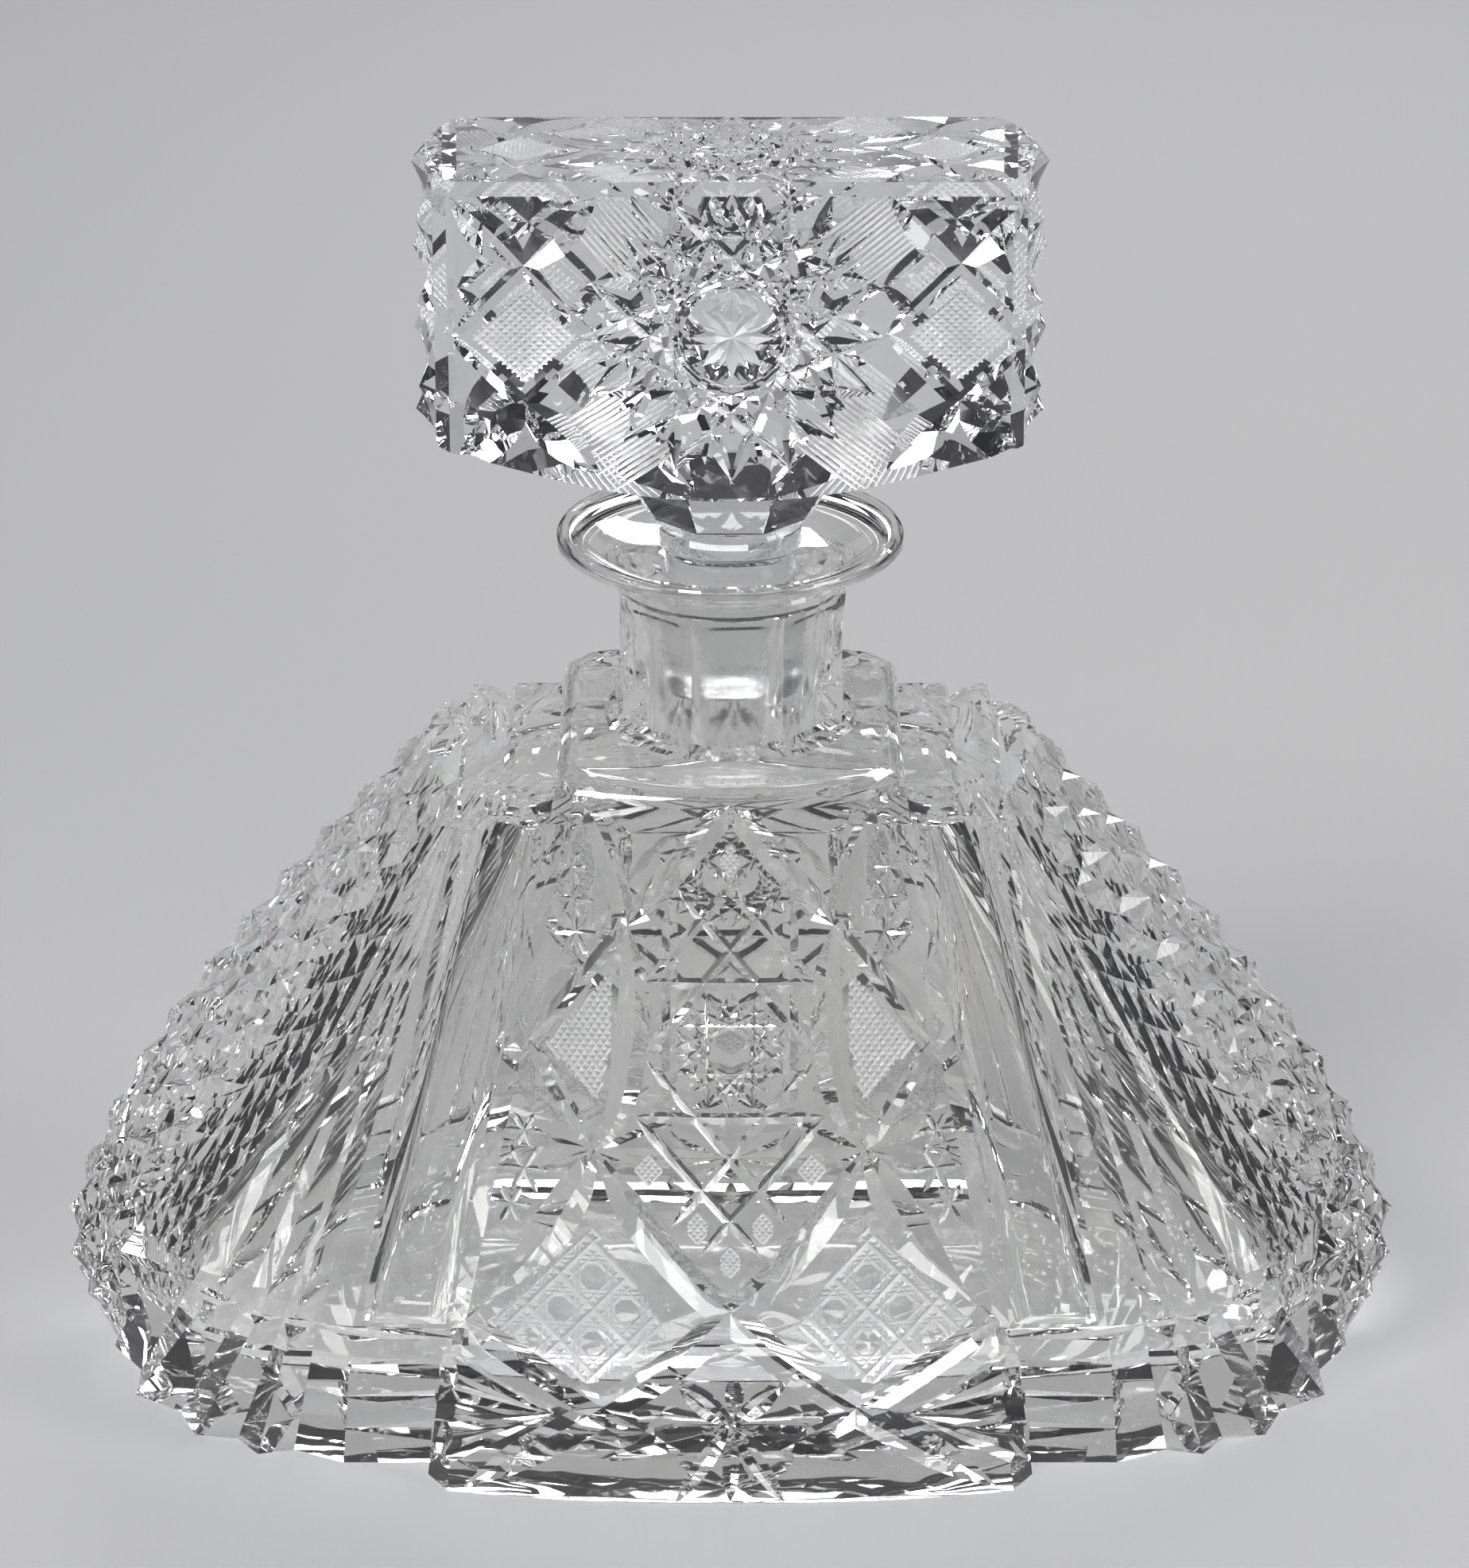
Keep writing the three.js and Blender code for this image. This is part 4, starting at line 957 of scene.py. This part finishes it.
def on_all_sides(nets):
    """Cuts of one quarter of the bottle, repeated on the other three."""
    out = []
    for net in nets:
        out.append(gathered([net, mirrored(net, -1), mirrored(net, 1, -1), mirrored(net, -1, -1)]))
    return out


def decanter_body():
    """The whole bottle."""
    end = end_face()
    outside = combined(wings(), "UNION", [end, mirrored(end, -1), block(), neck(), neck_root(), lip()])
    over, down = ledge_cuts()
    panel = panel_cuts()
    cutters = on_all_sides([thumb_flute(), band_groove(), *down, *band_wedges()])
    cutters += [gathered([one, mirrored(one, -1)]) for one in over]
    cutters += [gathered([panel, mirrored(panel, 1, -1)]), hollow(), bore(), saucer()]
    return whole(combined(outside, "DIFFERENCE", cutters))


# Stopper


def head():
    """Rectangular head, flat in front and behind, with raised diamonds on both ends."""
    rows = [(COLLAR_FOOT_Z + 4, 0.0, 0.0)]
    for i in range(HEAD_ROWS + 1):
        rows.append((lerp(HEAD_END_Z, HEAD_TOP_Z - HEAD_BEVEL, i / HEAD_ROWS), 0.0, 1.0))
    rows = [*halved(rows), (HEAD_TOP_Z, HEAD_BEVEL, 0.0)]
    columns = HEAD_COLUMNS * 2
    rings = []
    for row, (z, inset, weight) in enumerate(rows):
        edge = (HEAD_X - inset, HEAD_Y - inset - HEAD_SIDE_BACK)
        turns, xs, ys = bulge_arc(HEAD_CREST_X - inset, edge, columns)
        side_x, y = edge[0] - HEAD_SIDE_IN, HEAD_Y - inset
        right = [(side_x, -y, z)]
        for j, turn in enumerate(turns):
            depth = weight * relief(row + 2, j, HEAD_DIAMOND_DEPTH, HEAD_DIAMOND_NOTCH)
            if j in (0, columns):
                depth = 0.0
            right.append((xs[j] - depth * math.cos(turn), ys[j] - depth * math.sin(turn), z))
        right.append((side_x, y, z))
        rings.append(right + [(-p[0], -p[1], z) for p in right])
    half = len(rings[0]) // 2
    return tube(rings, lambda row, i: (row + i % half) % 2 == 0)


def head_under():
    """What is cut away below the sloping ends and the arch of the head's underside."""
    wide, deep = HEAD_CREST_X + 5, HEAD_Y + 21
    low = COLLAR_FOOT_Z - 1
    arch = [(t * UNDER_CORNER_X, lerp(UNDER_MIDDLE_Z, UNDER_CORNER_Z, t * t)) for t in np.linspace(-1, 1, 33)]
    left = [(-wide, HEAD_END_Z), (-HEAD_X, HEAD_END_Z)]
    right = [(HEAD_X, HEAD_END_Z), (wide, HEAD_END_Z), (wide, low), (-wide, low)]
    return tube([[(x, y, z) for x, z in left + arch + right] for y in (-deep, deep)])


def collar():
    """Eight-sided collar that widens up into the head."""
    return tube([
        octagon(COLLAR_FOOT_HALF * 2, COLLAR_FOOT_Z),
        octagon(COLLAR_TOP_HALF * 2, COLLAR_TOP_Z - 1),
        octagon(COLLAR_TOP_HALF * 2, COLLAR_TOP_Z + 1),
    ])


def peg_radius(z):
    share = (z - BORE_FOOT_Z) / (BORE_MOUTH_Z - BORE_FOOT_Z)
    return lerp(BORE_FOOT_RADIUS, BORE_MOUTH_RADIUS, share) - PEG_CLEARANCE


def peg():
    """Ground peg with a chamfered foot."""
    low, top = PEG_FOOT_Z, BORE_MOUTH_Z - 1
    foot = peg_radius(low)
    profile = [(foot - 1, low), (foot - 0.3, low + 0.3), (foot, low + 1), (peg_radius(top), top)]
    return turned(profile, ROUND_STEPS, GROUND)


def ring():
    """Plain round stem between the peg and the collar."""
    start = peg_radius(BORE_MOUTH_Z - 1)
    foot = [(start, BORE_MOUTH_Z - 1.2), (start - 0.4, RING_FOOT_Z - 0.6)]
    low = [(RING_RADIUS + out, RING_FOOT_Z + up) for out, up in ((-0.3, 0.2), (0, 0.8))]
    steps = ((0, -2.2), (-0.3, -1.5), (-0.8, -1), (-0.8, 1))
    high = [(RING_RADIUS + out, COLLAR_FOOT_Z + up) for out, up in steps]
    return turned(foot + low + high, ROUND_STEPS)


def on_front(x, z):
    return np.array([x, -HEAD_Y, z]), np.array([0.0, -1.0, 0.0])


def on_top(x, y):
    return np.array([x, y, HEAD_TOP_Z]), np.array([0.0, 0.0, 1.0])


def diamond_frame(surface, middle, half, width, depth):
    """Four mitres round a diamond, narrow along its sides, which run on past its corners as full leaves."""
    x, y = middle
    out = []
    for up in (-1, 1):
        for side in (-1, 1):
            start = (x - side * half, y)
            end = (x + side * half, y + up * 2 * half)
            out.append(cut(surface, straight(start, end, shares=np.linspace(0, 1, 17)), width, depth, tail))
    return out


def circle(surface, middle, radius, width, depth, count=64, proud=0.15):
    """V groove round a circle. proud is how far its tool stands out of the surface."""
    turns = np.linspace(0, 2 * np.pi, count, endpoint=False)
    sections = []
    for turn in turns:
        for r, sunk in ((radius - width / 2, -proud), (radius, depth), (radius + width / 2, -proud)):
            at, normal = surface(middle[0] + r * math.cos(turn), middle[1] + r * math.sin(turn))
            sections.append(at - normal * sunk)
    faces = []
    for s in range(count):
        for i in range(3):
            a, b = s * 3 + i, s * 3 + (i + 1) % 3
            faces.append((a, b, (b + 3) % (count * 3), (a + 3) % (count * 3)))
    return closed(sections, faces)


HEAD_STAR = (0.3, HEAD_TOP_Z - 25)
SIDE_DIAMONDS = ((-32.3, HEAD_TOP_Z - 24.8), (36.2, HEAD_TOP_Z - 24.4))
SIDE_HALF = 11.4
COMBS = (  # frosted combs: middle, direction, number of cuts and their half length
    ((22.8, HEAD_TOP_Z - 8.2), 40.0, 12, 7.6),
    ((-16.2, HEAD_TOP_Z - 8.8), 130.0, 12, 6.2),
    ((-17.4, HEAD_TOP_Z - 41.5), 34.0, 16, 6.2),
    ((19.0, HEAD_TOP_Z - 42.4), -38.0, 13, 7.0),
)
COMB_PITCH = 0.92
COMB_STAGGER = 0.7
COMB_UNEVEN = 0.8
COMB_SWING = 1.7  # radians from one tooth's length to the next
COMB_SHORTEST = 1.0
TOP_DIAMOND_X = 33.5
TOP_HALF = 8.2


def comb(middle, angle, count, reach):
    """Parallel frosted cuts whose ends are staggered like teeth, kept on the front."""
    along, across = heading(math.radians(angle))
    top = HEAD_TOP_Z - HEAD_BEVEL
    out = []
    for k in range(count):
        base = np.array(middle) + across * (k - (count - 1) / 2) * COMB_PITCH
        base = base + along * (COMB_STAGGER * (k % 2))
        half = reach + COMB_UNEVEN * math.cos(k * COMB_SWING)
        ends = sorted([base - along * half, base + along * half], key=lambda p: p[1])
        if ends[0][1] < top - COMB_SHORTEST:
            room = min(1.0, (top - ends[0][1]) / (ends[1][1] - ends[0][1]))
            places = straight(ends[0], ends[0] + (ends[1] - ends[0]) * room, shares=(0, 0.2, 0.5, 0.8, 1))
            out.append(cut(on_front, places, width=0.82, depth=0.42, shape=leaf, finish=FROSTED))
    return gathered(out)


def front_cuts():
    """Star, side diamonds and combs on the head's front."""
    out = []
    for middle in SIDE_DIAMONDS:
        out += diamond_frame(on_front, middle, SIDE_HALF, width=6.6, depth=2.5)
        out += crosshatch(on_front, diamond(*middle, 8.6, 7.8), angles=(42.0, 138.0), pitch=1.0)
    out += chords(on_front, HEAD_STAR, reach=22.8, offset=9.1, width=2.3, depth=1.05)
    out += rays(on_front, HEAD_STAR, 12.5, 21.5, count=16, turn=11.25, width=3.0, depth=1.35)
    out.append(circle(on_front, HEAD_STAR, radius=8.4, width=1.5, depth=0.7))
    petals = {"count": 8, "shape": kite, "finish": FROSTED}
    out += rays(on_front, HEAD_STAR, 0, 6.6, turn=0, width=2.9, depth=1.0, **petals)
    out += rays(on_front, HEAD_STAR, 1.6, 5.0, turn=22.5, width=1.5, depth=0.6, **petals)
    return out + [comb(*one) for one in COMBS]


def top_cuts():
    """Star and two diamonds on the head's top."""
    out = []
    for x in (-TOP_DIAMOND_X, TOP_DIAMOND_X):
        out += diamond_frame(on_top, (x, 0), TOP_HALF, width=4.8, depth=2.0)
        out += crosshatch(on_top, diamond(x, 0, 6.4, 6.4), angles=(45.0, 135.0), pitch=1.0)
    star = {"surface": on_top, "middle": (0, 0), "squash": 0.8}
    out += chords(reach=15.5, offset=5.6, width=1.9, depth=0.9, **star)
    out += rays(inner=0, outer=4.6, count=8, turn=0, width=1.7, depth=0.7, shape=kite, **star)
    out += rays(inner=8.6, outer=14.6, count=16, turn=11.25, width=2.4, depth=1.1, **star)
    return out


def stopper():
    """The whole stopper."""
    shape = combined(head(), "DIFFERENCE", [head_under()])
    shape = combined(shape, "UNION", [collar(), peg(), ring()])
    front = fused(front_cuts())
    cutters = [gathered([front, mirrored(front, 1, -1)]), fused(top_cuts())]
    return whole(combined(shape, "DIFFERENCE", cutters))


# Materials

GLASS_IOR = 1.545
BUMP_HEIGHT = 0.001  # metres, at full strength
SHADOW_TINT = (0.64, 0.645, 0.65, 1)  # share of the light in the glass's shadow, its glints apart
LIME_SHARES = (0.985, 0.45)  # light let through beside a speck and in it
SHARP_ANGLE = 11  # degrees; a steeper edge stays sharp
MIX_FIRST, MIX_SECOND, MIX_RESULT = 6, 7, 2  # the colour sockets of a Mix node, which has some for each type


def nodes_of(name):
    material = bpy.data.materials.new(name)
    material.use_nodes = True
    tree = material.node_tree
    tree.nodes.clear()
    return material, tree


def node(tree, kind, **values):
    made = tree.nodes.new(kind)
    for key, value in values.items():
        if key in made.inputs:
            made.inputs[key].default_value = value
        else:
            setattr(made, key, value)
    return made


def noise(tree, scale, detail, seed):
    """Noise in object space. The seed moves it, so that two noises differ."""
    where = node(tree, "ShaderNodeTexCoord")
    move = node(tree, "ShaderNodeMapping", Location=(seed, seed * 0.7, seed * 1.3))
    made = node(tree, "ShaderNodeTexNoise", Scale=scale, Detail=detail)
    tree.links.new(where.outputs["Object"], move.inputs["Vector"])
    tree.links.new(move.outputs["Vector"], made.inputs["Vector"])
    return made.outputs["Fac"]


def ranged(tree, value, low, high, to_low=0, to_high=1):
    """Value between low and high, carried over to the second range."""
    made = node(tree, "ShaderNodeMapRange")
    for name, number in zip(("From Min", "From Max", "To Min", "To Max"), (low, high, to_low, to_high)):
        made.inputs[name].default_value = number
    tree.links.new(value, made.inputs["Value"])
    return made.outputs["Result"]


def mixed(tree, share, a, b):
    """Colour between a and b."""
    made = node(tree, "ShaderNodeMix", data_type="RGBA")
    made.inputs[MIX_FIRST].default_value = (*a, 1)
    made.inputs[MIX_SECOND].default_value = (*b, 1)
    tree.links.new(share, made.inputs[0])
    return made.outputs[MIX_RESULT]


def glass(name, tints, gloss, wave, clear=1.0, haze=None):
    """Glass whose tint, gloss and surface vary a little.

    tints and gloss each give the two ends of a range. wave is the strength and scale of the surface's
    unevenness. clear is the share of light let through, and haze makes that share vary.
    """
    material, tree = nodes_of(name)
    link = tree.links.new
    shader = node(tree, "ShaderNodeBsdfPrincipled", IOR=GLASS_IOR)
    shader.inputs["Transmission Weight"].default_value = clear
    tint = mixed(tree, ranged(tree, noise(tree, scale=28, detail=3, seed=1), 0.35, 0.65), *tints)
    link(tint, shader.inputs["Base Color"])
    dulling = noise(tree, scale=60, detail=4, seed=5)
    link(ranged(tree, dulling, 0.4, 0.7, *gloss), shader.inputs["Roughness"])
    strength, scale = wave
    bump = node(tree, "ShaderNodeBump", Strength=strength, Distance=BUMP_HEIGHT)
    link(noise(tree, scale, detail=2, seed=9), bump.inputs["Height"])
    link(bump.outputs["Normal"], shader.inputs["Normal"])
    if haze:
        link(haze(tree), shader.inputs["Transmission Weight"])
    through = node(tree, "ShaderNodeBsdfTransparent", Color=SHADOW_TINT)
    path = node(tree, "ShaderNodeLightPath")
    either = node(tree, "ShaderNodeMixShader")
    link(path.outputs["Is Shadow Ray"], either.inputs[0])
    link(shader.outputs["BSDF"], either.inputs[1])
    link(through.outputs["BSDF"], either.inputs[2])
    out = node(tree, "ShaderNodeOutputMaterial")
    link(either.outputs["Shader"], out.inputs["Surface"])
    return material


def lime(tree):
    """Light that the inside lets through, which is less in the specks and faint haze of dried lime."""
    specks = ranged(tree, noise(tree, scale=420, detail=4, seed=3), 0.60, 0.66)
    patches = ranged(tree, noise(tree, scale=34, detail=3, seed=7), 0.48, 0.62)
    made = node(tree, "ShaderNodeMath", operation="MULTIPLY")
    tree.links.new(specks, made.inputs[0])
    tree.links.new(patches, made.inputs[1])
    return ranged(tree, made.outputs[0], 0, 1, *LIME_SHARES)


# Tints of the glass, each a range
CLEAR = (0.88, 0.89, 0.885), (0.92, 0.912, 0.895)
COOL = (0.90, 0.91, 0.92), (0.925, 0.93, 0.935)
DULL = (0.86, 0.87, 0.87), (0.92, 0.92, 0.915)

finishes = [
    glass("polished_glass", CLEAR, (0.0, 0.02), wave=(0.02, 70)),
    glass("frosted_cuts", DULL, (0.35, 0.5), wave=(0.25, 900), clear=0.7),
    glass("inside_glass", CLEAR, (0.0, 0.03), wave=(0.12, 46), haze=lime),
    glass("ground_bore", DULL, (0.1, 0.2), wave=(0.06, 900)),
]
stopper_finishes = {
    POLISHED: glass("stopper_glass", COOL, (0.0, 0.015), wave=(0.02, 70)),
    GROUND: glass("ground_peg", DULL, (0.12, 0.24), wave=(0.06, 900)),
}


def place(net, name, body):
    """Puts a finished piece in the scene in metres, with curved faces smooth, and ties it to the frame."""
    net.points = net.points * MM
    obj = make(net, name + "_glass")
    mesh = obj.data
    mesh.polygons.foreach_set("use_smooth", np.ones(len(mesh.polygons), bool))
    mesh.set_sharp_from_angle(angle=math.radians(SHARP_ANGLE))
    mesh.update()
    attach(obj, body)
    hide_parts(name)
    return obj


place(decanter_body(), "decanter_body", "body")
placed = place(stopper(), "stopper", "stopper")
for number, material in stopper_finishes.items():
    placed.data.materials[number] = material

# Floor, light and camera, in metres and watts

FLOOR_HALF = 4.0
FLOOR_DROP = 0.0002
FLOOR_TONES = (0.50, 0.505, 0.51), (0.53, 0.53, 0.535)
SKY_COLOR = (0.93, 0.96, 1.0, 1)
SKY_STRENGTH = 0.035
AIM = (0, 0, 0.08)  # middle of the object, which most lamps point at
LOW_AIM = (0, 0, 0.05)
SENSOR = 36.0  # millimetres along the picture's longer side
PHOTO_HEIGHT = 1972  # pixels
FOCAL_LENGTH = 7450  # pixels, from the photograph's perspective
CAMERA_DOWN = 23.4  # degrees below level
CAMERA_AT = (0.0007, -0.900, 0.492)
BOUNCES = 16  # light is reflected many times inside thick glass


def floor():
    """Large plain pale floor with a faint mottling, a hair below the glass so that the two don't touch."""
    mesh = bpy.data.meshes.new("floor")
    half, low = FLOOR_HALF, -FLOOR_DROP
    corners = [(-half, -half, low), (half, -half, low), (half, half, low), (-half, half, low)]
    mesh.from_pydata(corners, [], [(0, 1, 2, 3)])
    obj = bpy.data.objects.new("floor", mesh)
    bpy.context.scene.collection.objects.link(obj)
    material, tree = nodes_of("pale_floor")
    shader = node(tree, "ShaderNodeBsdfPrincipled", Roughness=0.85)
    shader.inputs["Specular IOR Level"].default_value = 0.2
    tone = mixed(tree, noise(tree, scale=3, detail=2, seed=2), *FLOOR_TONES)
    tree.links.new(tone, shader.inputs["Base Color"])
    out = node(tree, "ShaderNodeOutputMaterial")
    tree.links.new(shader.outputs["BSDF"], out.inputs["Surface"])
    mesh.materials.append(material)


def softbox(name, at, towards, size, power):
    light = bpy.data.lights.new(name, "AREA")
    light.shape = "RECTANGLE"
    light.size, light.size_y = size
    light.energy = power
    obj = bpy.data.objects.new(name, light)
    bpy.context.scene.collection.objects.link(obj)
    obj.location = at
    obj.rotation_euler = (Vector(towards) - Vector(at)).to_track_quat("-Z", "Y").to_euler()


def studio():
    world = bpy.data.worlds.new("studio")
    world.use_nodes = True
    sky = world.node_tree.nodes["Background"]
    sky.inputs["Color"].default_value = SKY_COLOR
    sky.inputs["Strength"].default_value = SKY_STRENGTH
    bpy.context.scene.world = world
    softbox("key", at=(-0.55, -0.75, 1.15), towards=AIM, size=(0.55, 0.40), power=15)
    softbox("fill", at=(1.0, -0.35, 0.75), towards=AIM, size=(0.35, 0.7), power=5.5)
    softbox("back", at=(0.2, 1.0, 0.9), towards=AIM, size=(0.9, 0.35), power=8)
    softbox("low_back", at=(-0.1, 1.2, 0.53), towards=LOW_AIM, size=(1.4, 0.30), power=0.5)


def camera():
    """Camera at the photograph's angle."""
    data = bpy.data.cameras.new("camera")
    data.sensor_width = SENSOR
    data.lens = SENSOR * FOCAL_LENGTH / PHOTO_HEIGHT
    data.clip_start = 0.05
    data.clip_end = 30
    obj = bpy.data.objects.new("camera", data)
    bpy.context.scene.collection.objects.link(obj)
    obj.location = CAMERA_AT
    obj.rotation_euler = (math.radians(90 - CAMERA_DOWN), 0, 0)
    bpy.context.scene.camera = obj


floor()
studio()
camera()
scene = bpy.context.scene
scene.view_settings.view_transform = "Standard"
scene.cycles.max_bounces = BOUNCES
scene.cycles.glossy_bounces = BOUNCES
scene.cycles.transmission_bounces = BOUNCES
